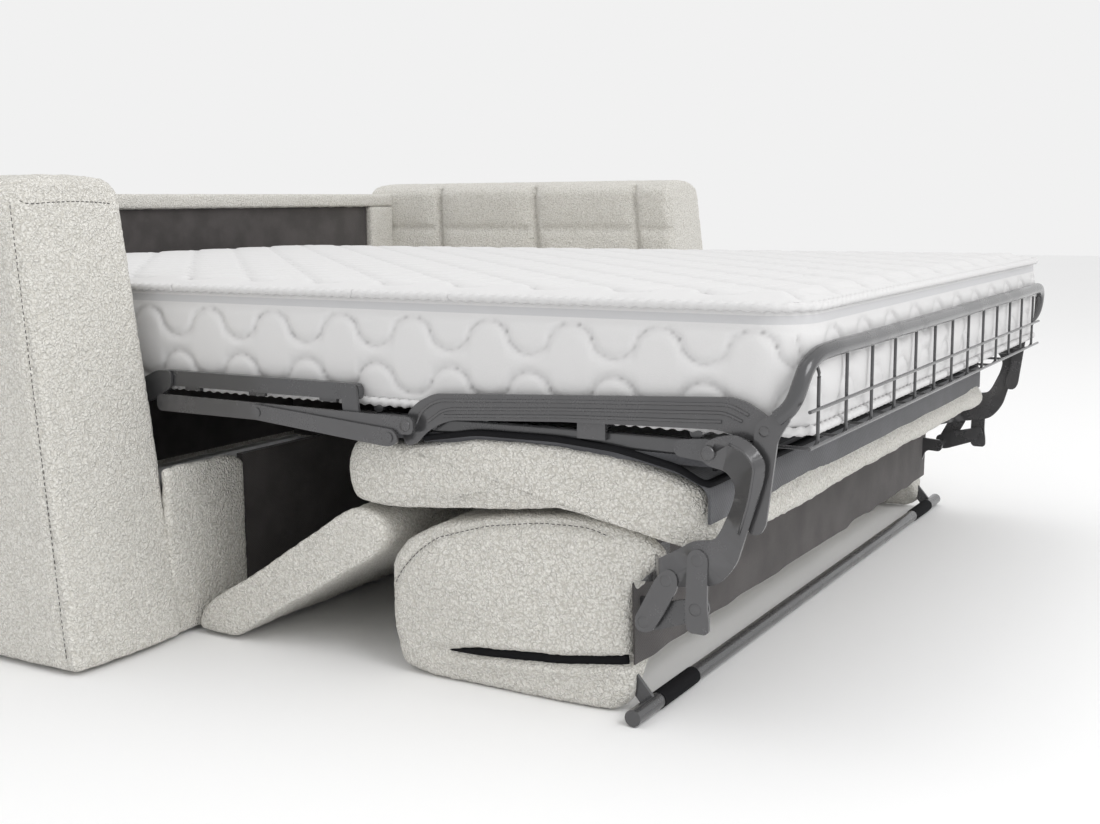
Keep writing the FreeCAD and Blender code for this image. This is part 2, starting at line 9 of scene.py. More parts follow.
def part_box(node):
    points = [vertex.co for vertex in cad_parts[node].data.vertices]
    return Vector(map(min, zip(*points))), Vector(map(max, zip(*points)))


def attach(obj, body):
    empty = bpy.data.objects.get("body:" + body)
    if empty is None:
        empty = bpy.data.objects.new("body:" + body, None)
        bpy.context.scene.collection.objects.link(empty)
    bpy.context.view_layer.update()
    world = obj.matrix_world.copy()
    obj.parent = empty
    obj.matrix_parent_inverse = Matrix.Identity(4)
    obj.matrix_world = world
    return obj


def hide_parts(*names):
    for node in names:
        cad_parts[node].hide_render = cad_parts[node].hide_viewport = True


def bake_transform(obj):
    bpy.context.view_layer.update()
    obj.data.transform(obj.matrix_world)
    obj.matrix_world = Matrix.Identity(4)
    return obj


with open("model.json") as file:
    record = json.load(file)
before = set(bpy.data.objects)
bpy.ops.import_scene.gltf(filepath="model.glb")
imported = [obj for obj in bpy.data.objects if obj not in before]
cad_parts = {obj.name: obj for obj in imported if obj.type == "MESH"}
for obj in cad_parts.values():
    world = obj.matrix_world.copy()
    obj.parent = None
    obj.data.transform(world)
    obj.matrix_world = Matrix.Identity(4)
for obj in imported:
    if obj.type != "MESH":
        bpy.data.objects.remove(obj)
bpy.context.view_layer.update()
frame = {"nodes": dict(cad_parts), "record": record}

bl_info = {
    "name": "Sleeper sofa",
    "version": (1, 0, 0),
    "blender": (4, 5, 0),
    "location": "3D View > Sidebar > Sleeper sofa",
    "description": "Builds a boucle sleeper sofa with its bed pulled out",
    "category": "Add Mesh",
}

# Measured places count in millimetres from the near arm's outer face and front foot
ARM_ORIGIN = (-1.190, -0.0715)
BED_MIDDLE = 942
MATTRESS_SIDES = (247, 1637)


def row_x(x):
    """A measured place across the sofa, in metres in the row frame."""
    return x / 1000 + ARM_ORIGIN[0]


def row_y(y):
    """A measured place along the bed, in metres in the row frame."""
    return y / 1000 + ARM_ORIGIN[1]


def side_points(points):
    """Measured (y, z) places as an array of metres in the row frame."""
    return np.array([(row_y(y), z / 1000) for y, z in points])


def box_of(node):
    """The lowest and highest corner of a CAD node, as arrays."""
    low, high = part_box(node)
    return np.array(low, float), np.array(high, float)


# Sizes and colours that a user may change

class SleeperSizes(bpy.types.PropertyGroup):
    nub_height: bpy.props.FloatProperty(
        name="Nub height", description="How far the boucle loops stand up",
        default=0.0016, unit="LENGTH")
    nub_width: bpy.props.FloatProperty(
        name="Nub width", description="Distance between boucle loops",
        default=0.0062, unit="LENGTH")
    seam_depth: bpy.props.FloatProperty(
        name="Seam depth", description="How far sewn seams pull the boucle in",
        default=0.009, unit="LENGTH")
    quilt_depth: bpy.props.FloatProperty(
        name="Quilt depth", description="How far the mattress stitching pulls in",
        default=0.0115, unit="LENGTH")
    piping_radius: bpy.props.FloatProperty(
        name="Piping radius", description="Radius of the twisted mattress edge",
        default=0.0054, unit="LENGTH")
    rivet_height: bpy.props.FloatProperty(
        name="Rivet height", description="How far a rivet's dome stands out",
        default=0.0026, unit="LENGTH")


def colour(name, words, value):
    """A colour property without alpha."""
    return bpy.props.FloatVectorProperty(
        name=name, description=words, default=value, subtype="COLOR", size=3, min=0, max=1)


class SleeperColours(bpy.types.PropertyGroup):
    boucle_loop: colour("Boucle loops", "Tops of the boucle loops", (1.0, 0.98, 0.925))
    # The ground colour is painted shade between the loops
    boucle_deep: colour("Boucle ground", "Shadowed ground of the boucle", (0.66, 0.635, 0.575))
    mattress: colour("Mattress cloth", "White quilted knit", (0.69, 0.685, 0.685))
    band: colour("Mattress band", "Grey satin tape at the mattress edge", (0.56, 0.56, 0.57))
    paint: colour("Frame paint", "Grey paint of tubes and wires", (0.080, 0.080, 0.083))
    pressed: colour("Pressed steel paint", "Grey paint of the pressed arms", (0.092, 0.091, 0.094))
    lining: colour("Lining", "Charcoal lining cloth", (0.055, 0.050, 0.049))
    felt: colour("Felt", "Grey felt under the seat", (0.085, 0.086, 0.092))
    rubber: colour("Rubber", "Black rubber and plastic", (0.008, 0.008, 0.009))


def sizes():
    """The sizes in the panel."""
    return bpy.context.scene.sleeper_sizes


def colours():
    """The colours in the panel."""
    return bpy.context.scene.sleeper_colours


# Shader building

class Amount:
    """A number socket that can be used in Python expressions."""

    def __init__(self, finish, socket):
        self.finish = finish
        self.socket = socket

    def work(self, operation, first, second=None):
        """One Math node on one or two values."""
        values = {0: first}
        if second is not None:
            values[1] = second
        node = self.finish.node("ShaderNodeMath", {"operation": operation}, values)
        return Amount(self.finish, node.outputs[0])

    def __add__(self, other):
        return self.work("ADD", self, other)

    def __radd__(self, other):
        return self.work("ADD", other, self)

    def __sub__(self, other):
        return self.work("SUBTRACT", self, other)

    def __rsub__(self, other):
        return self.work("SUBTRACT", other, self)

    def __mul__(self, other):
        return self.work("MULTIPLY", self, other)

    def __rmul__(self, other):
        return self.work("MULTIPLY", other, self)

    def __truediv__(self, other):
        return self.work("DIVIDE", self, other)

    def sine(self):
        return self.work("SINE", self)

    def size(self):
        return self.work("ABSOLUTE", self)

    def ramp(self, low, high):
        """Zero at low and one at high, with smooth ends."""
        node = self.finish.node("ShaderNodeMapRange", {"interpolation_type": "SMOOTHSTEP"},
                                {"Value": self, "From Min": low, "From Max": high})
        return Amount(self.finish, node.outputs[0])


class Finish:
    """A procedural material with one Principled shader."""

    def __init__(self, name, roughness, constants=None):
        self.material = bpy.data.materials.new(name)
        self.material.use_nodes = True
        self.tree = self.material.node_tree
        self.shader = self.tree.nodes["Principled BSDF"]
        self.shader.inputs["Roughness"].default_value = roughness
        for key, value in (constants or {}).items():
            self.shader.inputs[key].default_value = value
        self.place = self.node("ShaderNodeTexCoord").outputs["Object"]

    def node(self, kind, settings=None, values=None):
        """Adds a node, with its settings set first and then its sockets fed."""
        node = self.tree.nodes.new(kind)
        for key, value in (settings or {}).items():
            setattr(node, key, value)
        for key, value in (values or {}).items():
            self.feed(node.inputs[key], value)
        return node

    def feed(self, socket, value):
        """Links a socket or an Amount, or sets a plain value."""
        if isinstance(value, Amount):
            value = value.socket
        if isinstance(value, bpy.types.NodeSocket):
            self.tree.links.new(value, socket)
        else:
            socket.default_value = value

    def axis(self, which):
        """One of the three Object coordinates, in metres."""
        node = self.node("ShaderNodeSeparateXYZ", None, {0: self.place})
        return Amount(self, node.outputs[which])

    def noise(self, scale, detail):
        """Noise on Object coordinates, the scale in cells per metre."""
        node = self.node("ShaderNodeTexNoise", None,
                         {"Vector": self.place, "Scale": scale, "Detail": detail})
        return Amount(self, node.outputs[0])

    def mix(self, share, first, second):
        """The first colour at share zero, the second at one."""
        node = self.node("ShaderNodeMix", {"data_type": "RGBA"})
        self.feed(node.inputs[0], share)
        self.feed(node.inputs[6], first)
        self.feed(node.inputs[7], second)
        return node.outputs[2]

    def paint(self, value):
        self.feed(self.shader.inputs["Base Color"], value)

    def roughen(self, value):
        self.feed(self.shader.inputs["Roughness"], value)

    def bump(self, height, distance, strength):
        """Bends the normals by a height pattern that is worth the distance in metres."""
        node = self.node("ShaderNodeBump", None, {"Height": height})
        node.inputs["Distance"].default_value = distance
        node.inputs["Strength"].default_value = strength
        self.feed(self.shader.inputs["Normal"], node.outputs[0])


def solid(rgb, shade=1.0):
    """A colour times a shade, with full alpha."""
    return (rgb[0] * shade, rgb[1] * shade, rgb[2] * shade, 1.0)


FINISHES = {}


LOOP_CELLS = 275.0
LOOP_BUMP = 0.0040
PUSH_CELLS = 130.0
PUSH_REACH = 0.008
FUZZ_CELLS = 760.0
DRIFT_CELLS = 2.2
KNIT_CELLS = 900.0
PEEL_CELLS = 420.0
PATCH_CELLS = 14.0
BLOT_CELLS = 16.0
FIBRE_CELLS = 500.0
GRAIN_CELLS = 700.0
NET_THREADS = 1900.0
LINING_WEAVE = 1500.0
FELT_WEAVE = 900.0


def boucle_finish():
    """Loops are noise-pushed cells, light on top, with painted shade between them."""
    look = Finish("boucle", 0.95, {"Sheen Weight": 0.25, "Sheen Roughness": 0.6,
                                   "Specular IOR Level": 0.15})
    push = look.node("ShaderNodeTexNoise", None,
                     {"Vector": look.place, "Scale": PUSH_CELLS, "Detail": 2.0})
    scaled = look.node("ShaderNodeVectorMath", {"operation": "SCALE"},
                       {0: push.outputs["Color"], "Scale": PUSH_REACH})
    moved = look.node("ShaderNodeVectorMath", {"operation": "ADD"},
                      {0: look.place, 1: scaled.outputs[0]})
    cells = look.node("ShaderNodeTexVoronoi", {"feature": "F1"},
                      {"Vector": moved.outputs[0], "Scale": LOOP_CELLS})
    loop = 1.0 - Amount(look, cells.outputs["Distance"]) * 1.25
    fuzz = look.noise(FUZZ_CELLS, 3.0)
    height = loop * 0.8 + fuzz * 0.45
    shade = height.ramp(0.15, 0.95)
    drift = look.noise(DRIFT_CELLS, 2.0).ramp(0.3, 0.7)
    c = colours()
    # Painted shade: the ground colour stands for the shadow in the crevices between loops
    body = look.mix(shade, solid(c.boucle_deep), solid(c.boucle_loop))
    look.paint(look.mix(drift * 0.16, body, solid(c.boucle_loop, 0.80)))
    look.bump(height, LOOP_BUMP, 1.0)
    return look.material


def mattress_finish():
    """Fine knit with painted shade in its sewn creases, and a grey band just under the top edge.
    """
    look = Finish("mattress_white", 0.72, {"Sheen Weight": 0.2, "Specular IOR Level": 0.25})
    from_middle = (look.axis(2) - TAPE_MIDDLE).size()
    band = 1.0 - (from_middle / TAPE_HALF_HEIGHT).ramp(0.85, 1.0)
    # Painted shade: the crease shade value darkens the cloth where the stitching pulls it in
    sewn = look.node("ShaderNodeAttribute", {"attribute_name": "crease_shade"})
    crease_shade = Amount(look, sewn.outputs["Fac"])
    knit = look.noise(KNIT_CELLS, 2.0)
    c = colours()
    cloth = look.mix(knit.ramp(0.3, 0.7) * 0.25, solid(c.mattress), solid(c.mattress, 0.88))
    cloth = look.mix(crease_shade * 0.5, cloth, solid(c.mattress, 0.62))
    look.paint(look.mix(band, cloth, solid(c.band)))
    look.bump(knit * 0.6, 0.0007, 0.6)
    return look.material


def paint_finish(name, rgb, roughness, mottle):
    """Sprayed paint with an orange-peel skin and slightly rubbed patches."""
    look = Finish(name, roughness, {"Metallic": 0.4, "Specular IOR Level": 0.6,
                                    "Coat Weight": 0.35, "Coat Roughness": 0.18})
    peel = look.noise(PEEL_CELLS, 2.0)
    patch = look.noise(PATCH_CELLS, 4.0).ramp(0.42, 0.62)
    look.paint(look.mix(patch * mottle, solid(rgb), solid(rgb, 1.35)))
    look.roughen(peel * 0.14 + patch * 0.1 + (roughness - 0.12))
    look.bump(peel, 0.0003, 0.35)
    return look.material


def cloth_finish(name, rgb, weave, mottle):
    """Plain woven cloth: two crossed sets of threads over soft blotches."""
    look = Finish(name, 0.95, {"Sheen Weight": 0.3, "Specular IOR Level": 0.1})
    warp = ((look.axis(0) + look.axis(1)) * weave).sine()
    weft = (look.axis(2) * weave + look.axis(1) * (weave * 0.37)).sine()
    blot = look.noise(BLOT_CELLS, 5.0).ramp(0.35, 0.7)
    fibre = look.noise(FIBRE_CELLS, 3.0)
    look.paint(look.mix(blot * mottle + fibre * 0.2, solid(rgb), solid(rgb, 1.9)))
    look.bump(warp * weft * 0.5 + fibre, 0.0006, 0.6)
    return look.material


def rubber_finish():
    """Matt black rubber with faint moulding texture."""
    look = Finish("black_rubber", 0.85, {"Specular IOR Level": 0.12})
    grain = look.noise(GRAIN_CELLS, 2.0)
    c = colours()
    look.paint(look.mix(grain * 0.5, solid(c.rubber), solid(c.rubber, 2.0)))
    look.bump(grain, 0.0002, 0.5)
    return look.material


def net_finish():
    """Black woven netting threads."""
    look = Finish("black_net", 0.85, {"Specular IOR Level": 0.2})
    thread = (look.axis(0) * NET_THREADS).sine() * (look.axis(1) * NET_THREADS).sine()
    c = colours()
    look.paint(look.mix(thread * 0.5 + 0.5, solid(c.rubber), solid(c.rubber, 3.0)))
    look.bump(thread, 0.0004, 0.6)
    return look.material


def finishes():
    """Every finish by the name of its slot, made once."""
    if not FINISHES:
        c = colours()
        FINISHES["boucle"] = boucle_finish()
        FINISHES["mattress_white"] = mattress_finish()
        FINISHES["grey_frame"] = paint_finish("grey_frame", tuple(c.paint), 0.26, 0.18)
        FINISHES["link_steel"] = paint_finish("link_steel", tuple(c.pressed), 0.24, 0.18)
        FINISHES["dark_lining"] = cloth_finish("dark_lining", tuple(c.lining), LINING_WEAVE, 0.5)
        FINISHES["grey_felt"] = cloth_finish("grey_felt", tuple(c.felt), FELT_WEAVE, 0.35)
        FINISHES["black_rubber"] = rubber_finish()
        FINISHES["black_plastic"] = FINISHES["black_rubber"]
        FINISHES["black_net"] = net_finish()
    return FINISHES


# Mesh building

def squares(index):
    """The four corners of each cell in a grid of point numbers, in turn round the cell."""
    return np.stack([index[:-1, :-1], index[1:, :-1], index[1:, 1:], index[:-1, 1:]], -1)


def turned(quads):
    """The same squares, wound the other way from the same first corner."""
    return quads[..., [0, 3, 2, 1]]


def ring_quads(rings, n):
    """Squares between each ring of n points and the next one."""
    i = np.arange(rings - 1)[:, None] * n
    j = np.arange(n)[None]
    k = (j + 1) % n
    return np.stack([i + j, i + k, i + n + k, i + n + j], -1).reshape(-1, 4)


def shell_grid(counts):
    """Closed grid over a unit cube's skin: lattice points with any coordinate at 0 or 1,
    joined by squares whose corners run anticlockwise seen from outside."""
    nx, ny, nz = counts
    index = np.full((nx + 1, ny + 1, nz + 1), -1)
    skin = np.ones(index.shape, bool)
    skin[1:-1, 1:-1, 1:-1] = False
    index[skin] = np.arange(skin.sum())
    points = np.argwhere(skin) / np.array(counts, float)
    faces = []
    for axis in range(3):
        for end in (0, -1):
            square = squares(np.take(index, end, axis=axis))
            inside_out = (end == 0) != (axis == 1)
            faces.append((square[..., ::-1] if inside_out else square).reshape(-1, 4))
    return points, np.concatenate(faces)


def box_grid(low, high, step):
    """The shell grid of a box at about the given step, its points as shares of the sides."""
    counts = np.maximum(np.round((high - low) / step).astype(int), 4)
    return shell_grid(tuple(counts))


def rounded(points, low, high, radius):
    """Each point moves to a fixed distance from the nearest point of the box shrunk by it."""
    core = np.clip(points, low + radius, high - radius)
    offset = points - core
    length = np.linalg.norm(offset, axis=1, keepdims=True)
    return core + offset * (radius / np.maximum(length, 1e-9))


def point_normals(points, quads):
    """Sum of the face normals round each point, made unit length."""
    a, b, c, d = (points[quads[:, k]] for k in range(4))
    flat = np.cross(c - a, d - b)
    total = np.zeros_like(points)
    for k in range(4):
        for axis in range(3):
            total[:, axis] += np.bincount(quads[:, k], flat[:, axis], len(points))
    return total / np.maximum(np.linalg.norm(total, axis=1, keepdims=True), 1e-12)


# Large odd factors that scatter a lattice cell's number
CELL_FACTORS = np.array([73856093, 19349663, 83492791])
SEED_FACTOR = 7919
SCATTER_FACTOR = 1274126177
SEED_SHIFT = 17.31


def lattice_noise(points, size, seed):
    """Random heights on a lattice of the given size, blended smoothly, from -1 to 1."""
    spot = points / size + seed * SEED_SHIFT
    cell = np.floor(spot).astype(np.int64)
    part = ease(spot - cell)
    total = np.zeros(len(points))
    for corner in np.ndindex(2, 2, 2):
        corner = np.array(corner)
        key = (cell + corner) @ CELL_FACTORS + seed * SEED_FACTOR
        key = (key ^ (key >> 13)) * SCATTER_FACTOR & 0x7FFFFFFF
        key = (key ^ (key >> 16)) & 0xFFFF
        weight = np.prod(np.where(corner == 1, part, 1 - part), axis=1)
        total += weight * (key / 32767.5 - 1)
    return total


def two_noises(points, cells, share, seeds):
    """Lattice noise of one cell size, plus a share of the noise of a second size."""
    first, second = (lattice_noise(points, cell, seed) for cell, seed in zip(cells, seeds))
    return first + share * second


def nubs(points, quads, seed=1, slack=0.0):
    """Boucle skin: two sizes of lattice noise pushed along the normals, over the slow
    waves of loosely filled stuffing."""
    s = sizes()
    if slack:
        soft = two_noises(points, (0.13, 0.055), 0.5, (seed + 11, seed + 12))
        points = points + point_normals(points, quads) * (soft * slack)[:, None]
    lift = two_noises(points, (s.nub_width, s.nub_width * 2.3), 0.6, (seed, seed + 5))
    return points + point_normals(points, quads) * (lift * s.nub_height * 0.6)[:, None]


def add_piece(name, mesh, body, slot, replaced=(), crisp=None):
    """Shows a mesh as a smooth piece, sharp only at edges past the crisp angle in degrees."""
    piece = bpy.data.objects.new(name, mesh)
    bpy.context.scene.collection.objects.link(piece)
    mesh.materials.clear()
    mesh.materials.append(finishes()[slot])
    mesh.polygons.foreach_set("use_smooth", [True] * len(mesh.polygons))
    if crisp:
        mesh.set_sharp_from_angle(angle=math.radians(crisp))
    if body:
        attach(piece, body)
    if replaced:
        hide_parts(*replaced)
    return piece


def put(name, points, faces, body, slot, replaced=(), padded=None, crisp=None):
    """A piece from its points and faces; nothing that rides a body goes below the floor."""
    points = np.array(points, float)
    if body:
        points[:, 2] = np.maximum(points[:, 2], 0)
    mesh = bpy.data.meshes.new(name)
    mesh.from_pydata(points.tolist(), [], [list(map(int, f)) for f in faces])
    mesh.validate()
    piece = add_piece(name, mesh, body, slot, replaced, crisp)
    return piece


def ease(share):
    """A smooth step from zero to one: three squares less two cubes."""
    share = np.clip(share, 0, 1)
    return share * share * (3 - 2 * share)


def groove(distance, width):
    """A sewn seam's cross-section: one in the seam, fading out over the width."""
    return np.exp(-(distance / width) ** 2)


def puff(distance, reach):
    """Rise of stuffing away from a seam: zero in it, one past the reach."""
    t = np.clip(np.abs(distance) / reach, 0, 1)
    return np.sqrt(1 - (1 - t) ** 2)


def soft_box(low, high, radius, step):
    """A box grid whose edges and corners are rounded."""
    share, quads = box_grid(low, high, step)
    return rounded(low + share * (high - low), low, high, radius), quads


def run_along(line):
    """The length run from the first point of a chain to each point."""
    return np.concatenate([[0], np.cumsum(np.linalg.norm(np.diff(line, axis=0), axis=1))])


def points_at(line, places):
    """The points of a chain at the given runs."""
    run = run_along(line)
    return np.stack([np.interp(places, run, line[:, k]) for k in range(line.shape[1])], -1)


def resample(line, step, blur=0):
    """A chain of points at even steps, its corners averaged over the blur length."""
    line = np.asarray(line, float)
    length = run_along(line)[-1]
    out = points_at(line, np.linspace(0, length, max(int(length / step), 2)))
    for _ in range(int(blur / step)):
        out[1:-1] = (out[:-2] + 2 * out[1:-1] + out[2:]) / 4
    return out


def smooth_loop(points, step, blur):
    """A polygon resampled at even steps and averaged along itself by a bell curve."""
    closed = np.vstack([points, points[:1]])
    length = run_along(closed)[-1]
    loop = points_at(closed, np.linspace(0, length, int(length / step), endpoint=False))
    reach = int(3 * blur / step) + 1
    offsets = np.arange(-reach, reach + 1)
    weights = np.exp(-0.5 * (offsets * step / blur) ** 2)
    weights /= weights.sum()
    return sum(w * np.roll(loop, -o, axis=0) for w, o in zip(weights, offsets))


def area_of(loop):
    """Half the sum of the cross products of neighbours, positive when anticlockwise."""
    after = np.roll(loop, -1, axis=0)
    return 0.5 * np.sum(loop[:, 0] * after[:, 1] - after[:, 0] * loop[:, 1])


def roll_shell(loop, x0, x1, edge, bulge, step, rings):
    """A side outline carried across the sofa. Near each end it follows a quarter circle
    inwards, then closes on its middle while the end face swells by a half sine."""
    if area_of(loop) < 0:
        loop = loop[::-1]
    middle = loop.mean(axis=0)
    reach = np.linalg.norm(loop - middle, axis=1).mean()
    turn = np.linspace(0, math.pi / 2, 7)
    count = max(int((x1 - x0 - 2 * edge) / step), 2)
    cap = np.linspace(0, 1, rings + 1)[1:-1]
    turn_t = edge * (1 - np.sin(turn)) / reach
    start_t = np.concatenate([(edge + (reach - edge) * cap[::-1]) / reach, turn_t])
    start_x = np.concatenate([-bulge * np.sin(cap[::-1] * math.pi / 2),
                              edge * (1 - np.cos(turn))])
    xs = np.concatenate([x0 + start_x, np.linspace(x0 + edge, x1 - edge, count + 1)[1:-1],
                         x1 - start_x[::-1]])
    ts = np.concatenate([start_t, np.zeros(count - 1), start_t[::-1]])
    n = len(loop)
    flat = loop[None] + (middle - loop)[None] * ts[:, None, None]
    points = np.concatenate([np.broadcast_to(xs[:, None, None], (len(xs), n, 1)), flat], -1)
    return points.reshape(-1, 3), ring_quads(len(xs), n), n, middle


def stuffed(roll, seed, slack=0.0):
    """The boucle skin of a rolled shell, with a point at each end that the last ring fans to."""
    points, quads, n, middle = roll
    points = nubs(points, quads, seed, slack)
    total = len(points)
    ends = np.array([[points[0, 0], *middle], [points[-1, 0], *middle]])
    j = np.arange(n)
    k = (j + 1) % n
    near = np.stack([k, j, np.full(n, total)], -1)
    far = np.stack([total - n + j, total - n + k, np.full(n, total + 1)], -1)
    return np.vstack([points, ends]), list(quads) + list(near) + list(far)


def tube_along(path, radius, sides):
    """Circles carried along a path of points, in frames kept level by the up axis."""
    path = np.asarray(path, float)
    ahead = np.gradient(path, axis=0)
    ahead /= np.linalg.norm(ahead, axis=1, keepdims=True)
    side = np.cross(ahead, [0, 0, 1.0])
    side /= np.maximum(np.linalg.norm(side, axis=1, keepdims=True), 1e-9)
    up = np.cross(side, ahead)
    angle = np.linspace(0, 2 * math.pi, sides, endpoint=False)[None, :, None]
    ring = side[:, None] * np.cos(angle) + up[:, None] * np.sin(angle)
    radius = np.broadcast_to(np.asarray(radius, float), (len(path), sides))
    points = (path[:, None] + ring * radius[..., None]).reshape(-1, 3)
    faces = [f[::-1] for f in ring_quads(len(path), sides)]
    faces.append(np.arange(sides))
    faces.append(np.arange(len(points) - sides, len(points))[::-1])
    return points, faces


def joined(parts):
    """Several pairs of points and faces as one pair."""
    starts = np.cumsum([0] + [len(points) for points, faces in parts])
    faces = [np.asarray(face) + start for part, start in zip(parts, starts) for face in part[1]]
    return np.concatenate([points for points, faces in parts]), faces


def line_gap(places, line):
    """Distance from each place to a chain of straight parts, and the share run along it."""
    best = np.full(len(places), 1e9)
    share = np.zeros(len(places))
    lengths = np.linalg.norm(np.diff(line, axis=0), axis=1)
    before = 0.0
    for a, b, length in zip(line[:-1], line[1:], lengths):
        t = np.clip(((places - a) @ (b - a)) / length ** 2, 0, 1)
        gap = np.linalg.norm(places - a - t[:, None] * (b - a), axis=1)
        closer = gap < best
        best = np.where(closer, gap, best)
        share = np.where(closer, (before + t * length) / lengths.sum(), share)
        before += length
    return best, share


def thread(name, lines, body, radius, slot="dark_lining"):
    """Sewing thread, cord or wire laid along each line of points, as one piece."""
    points, faces = joined([tube_along(line, radius, 8) for line in lines])
    put(name, points, faces, body, slot)


STITCH_STEP = 0.0012
STITCH_LENGTH = 0.0045
STITCH_SPACE = 0.0035
STITCH_RADIUS = 0.0006


def stitches(line):
    """Cuts a line of points into short stitches with spaces between them."""
    fine = resample(line, STITCH_STEP)
    on = int(round(STITCH_LENGTH / STITCH_STEP)) + 1
    pitch = int(round((STITCH_LENGTH + STITCH_SPACE) / STITCH_STEP))
    return [fine[i:i + on] for i in range(0, len(fine) - on, pitch)]


def ribbon(line, thick, x0, x1, columns):
    """A side line carried across the sofa and thickened to its left, as a closed sheet."""
    ahead = np.gradient(line, axis=0)
    ahead /= np.linalg.norm(ahead, axis=1, keepdims=True)
    outer = line + np.stack([ahead[:, 1], -ahead[:, 0]], -1) * thick
    n = len(line)
    points = np.stack([np.column_stack([np.full(n, x), side])
                       for x in np.linspace(x0, x1, columns)
                       for side in (line, outer)]).reshape(-1, 3)
    index = np.arange(len(points)).reshape(columns, 2, n)
    faces = [turned(squares(index[:, 1])), squares(index[:, 0]), turned(squares(index[0])),
             squares(index[-1]), squares(index[:, :, 0].T), turned(squares(index[:, :, -1].T))]
    return points, np.concatenate([face.reshape(-1, 4) for face in faces])


# Boucle body

ARM_STEP = 0.0062
ARM_TIGHT_EDGE = 0.012
ARM_FULLER_EDGE = 0.016
ARM_LEAN = 0.082
ARM_FOOT_SET_IN = 0.022
ARM_TOP_SEAM = 0.655
ARM_MIDDLE_SEAM = 0.565
ARM_FOOT_SEAM = 0.196
NEAR_CROWN = 0.014
FAR_CROWN = 0.026
FAR_SETBACK = 0.035
PANEL_REACH = 0.075
PANEL_SWELL = 0.026
PANEL_LEVEL = 0.72
SEAM_WIDTH = 0.008
FRONT_SHARE = 0.08
FRONT_SWELL = 0.007
FRONT_SEAM_PULL = 0.004
OUTSIDE_SHARE = 0.04
EDGE_STITCH_SET_IN = 0.0032
# Each seam of the far arm's inner face: its axis, measured place and pull
FAR_SEAMS = (("y", 844, 1), ("y", 484, 1), ("y", 124, 0.8), ("z", 565, 0.4), ("z", 205, 1))


def arm_edge(share):
    """The front edge's place along the bed: it leans back as its share of height grows."""
    return row_y(0) + ARM_FOOT_SET_IN * (1 - share) + ARM_LEAN * share


def arm_piece(node, inner_side, seams, crown, setback=0.0):
    """A box with tight lower edges and fuller top ones, whose front leans back with height;
    stuffing rises between the sewn lines of its inner and front faces."""
    low, high = box_of(node)
    share, quads = box_grid(low, high, ARM_STEP)
    radius = ARM_TIGHT_EDGE + ARM_FULLER_EDGE * share[:, 2:3] ** 2
    points = rounded(low + share * (high - low), low, high, radius)
    y, z = points[:, 1].copy(), points[:, 2].copy()
    face = share[:, 0] if inner_side > 0 else 1 - share[:, 0]
    swell = np.ones(len(points))
    for axis, place, pull in seams:
        gap = (y - row_y(place)) if axis == "y" else (z - place / 1000)
        sewn = puff(gap, PANEL_REACH) - 0.35 * groove(gap, SEAM_WIDTH)
        swell = np.minimum(swell, 1 - pull * (1 - sewn))
    wall = np.clip((face - 0.72) / 0.28, 0, 1) ** 2
    if seams:
        points[:, 0] += inner_side * (swell - PANEL_LEVEL) * PANEL_SWELL * wall
    points[:, 1] += ARM_LEAN * share[:, 2] * (1 - share[:, 1]) + setback * (1 - share[:, 1]) ** 2
    front = np.clip(1 - share[:, 1] / FRONT_SHARE, 0, 1)
    across = np.sin(math.pi * np.clip(share[:, 0], 0, 1))
    points[:, 1] -= front * FRONT_SWELL * across
    points[:, 2] += crown * (0.5 + 0.5 * across) * ease((share[:, 2] - 0.6) / 0.4)
    points[:, 1] += front * across * FRONT_SEAM_PULL * (
        groove(z - ARM_TOP_SEAM, SEAM_WIDTH) + 0.5 * groove(z - ARM_FOOT_SEAM, 1.5 * SEAM_WIDTH))
    outside = np.clip(1 - face / OUTSIDE_SHARE, 0, 1)
    points[:, 0] += inner_side * outside * sizes().seam_depth * 0.45 * (
        groove(points[:, 1] - arm_edge(share[:, 2]), 0.75 * SEAM_WIDTH)
        + 0.4 * groove(z - ARM_MIDDLE_SEAM, SEAM_WIDTH)
        + 0.4 * groove(z - ARM_FOOT_SEAM, SEAM_WIDTH))
    return nubs(points, quads), quads


def near_arm_stitches(points):
    """Stitches up the outer edge of the front and across the front below its top."""
    low, high = box_of("near_arm")
    share = np.linspace(0.03, 0.965, 60)
    edge = np.stack([np.full(len(share), low[0] + EDGE_STITCH_SET_IN), arm_edge(share),
                     low[2] + share * (high[2] - low[2])], -1)
    front = points[points[:, 1] < row_y(0) + ARM_LEAN + 0.004]
    across = np.linspace(low[0] + 0.02, high[0] - 0.026, 24)
    spots = [np.argmin(np.hypot(front[:, 0] - x, front[:, 2] - ARM_TOP_SEAM)) for x in across]
    top = np.column_stack([across, front[spots, 1] - 0.0004, front[spots, 2]])
    return stitches(edge) + stitches(resample(top, 0.004, 0.03))


class SLEEPER_OT_arms(bpy.types.Operator):
    """Both upholstered arms"""
    bl_idname = "sleeper.arms"
    bl_label = "Arms"

    def execute(self, context):
        points, quads = arm_piece("near_arm", 1, (), NEAR_CROWN)
        put("near_arm_boucle", points, quads, "sofa", "boucle", ["near_arm"])
        # Stitches in dark thread, whose dark colour is also painted shade along the seams
        thread("near_arm_thread_and_seam_shade", near_arm_stitches(points), "sofa", STITCH_RADIUS)
        points, quads = arm_piece("far_arm", -1, FAR_SEAMS, FAR_CROWN, FAR_SETBACK)
        put("far_arm_boucle", points, quads, "sofa", "boucle", ["far_arm"])
        return {"FINISHED"}


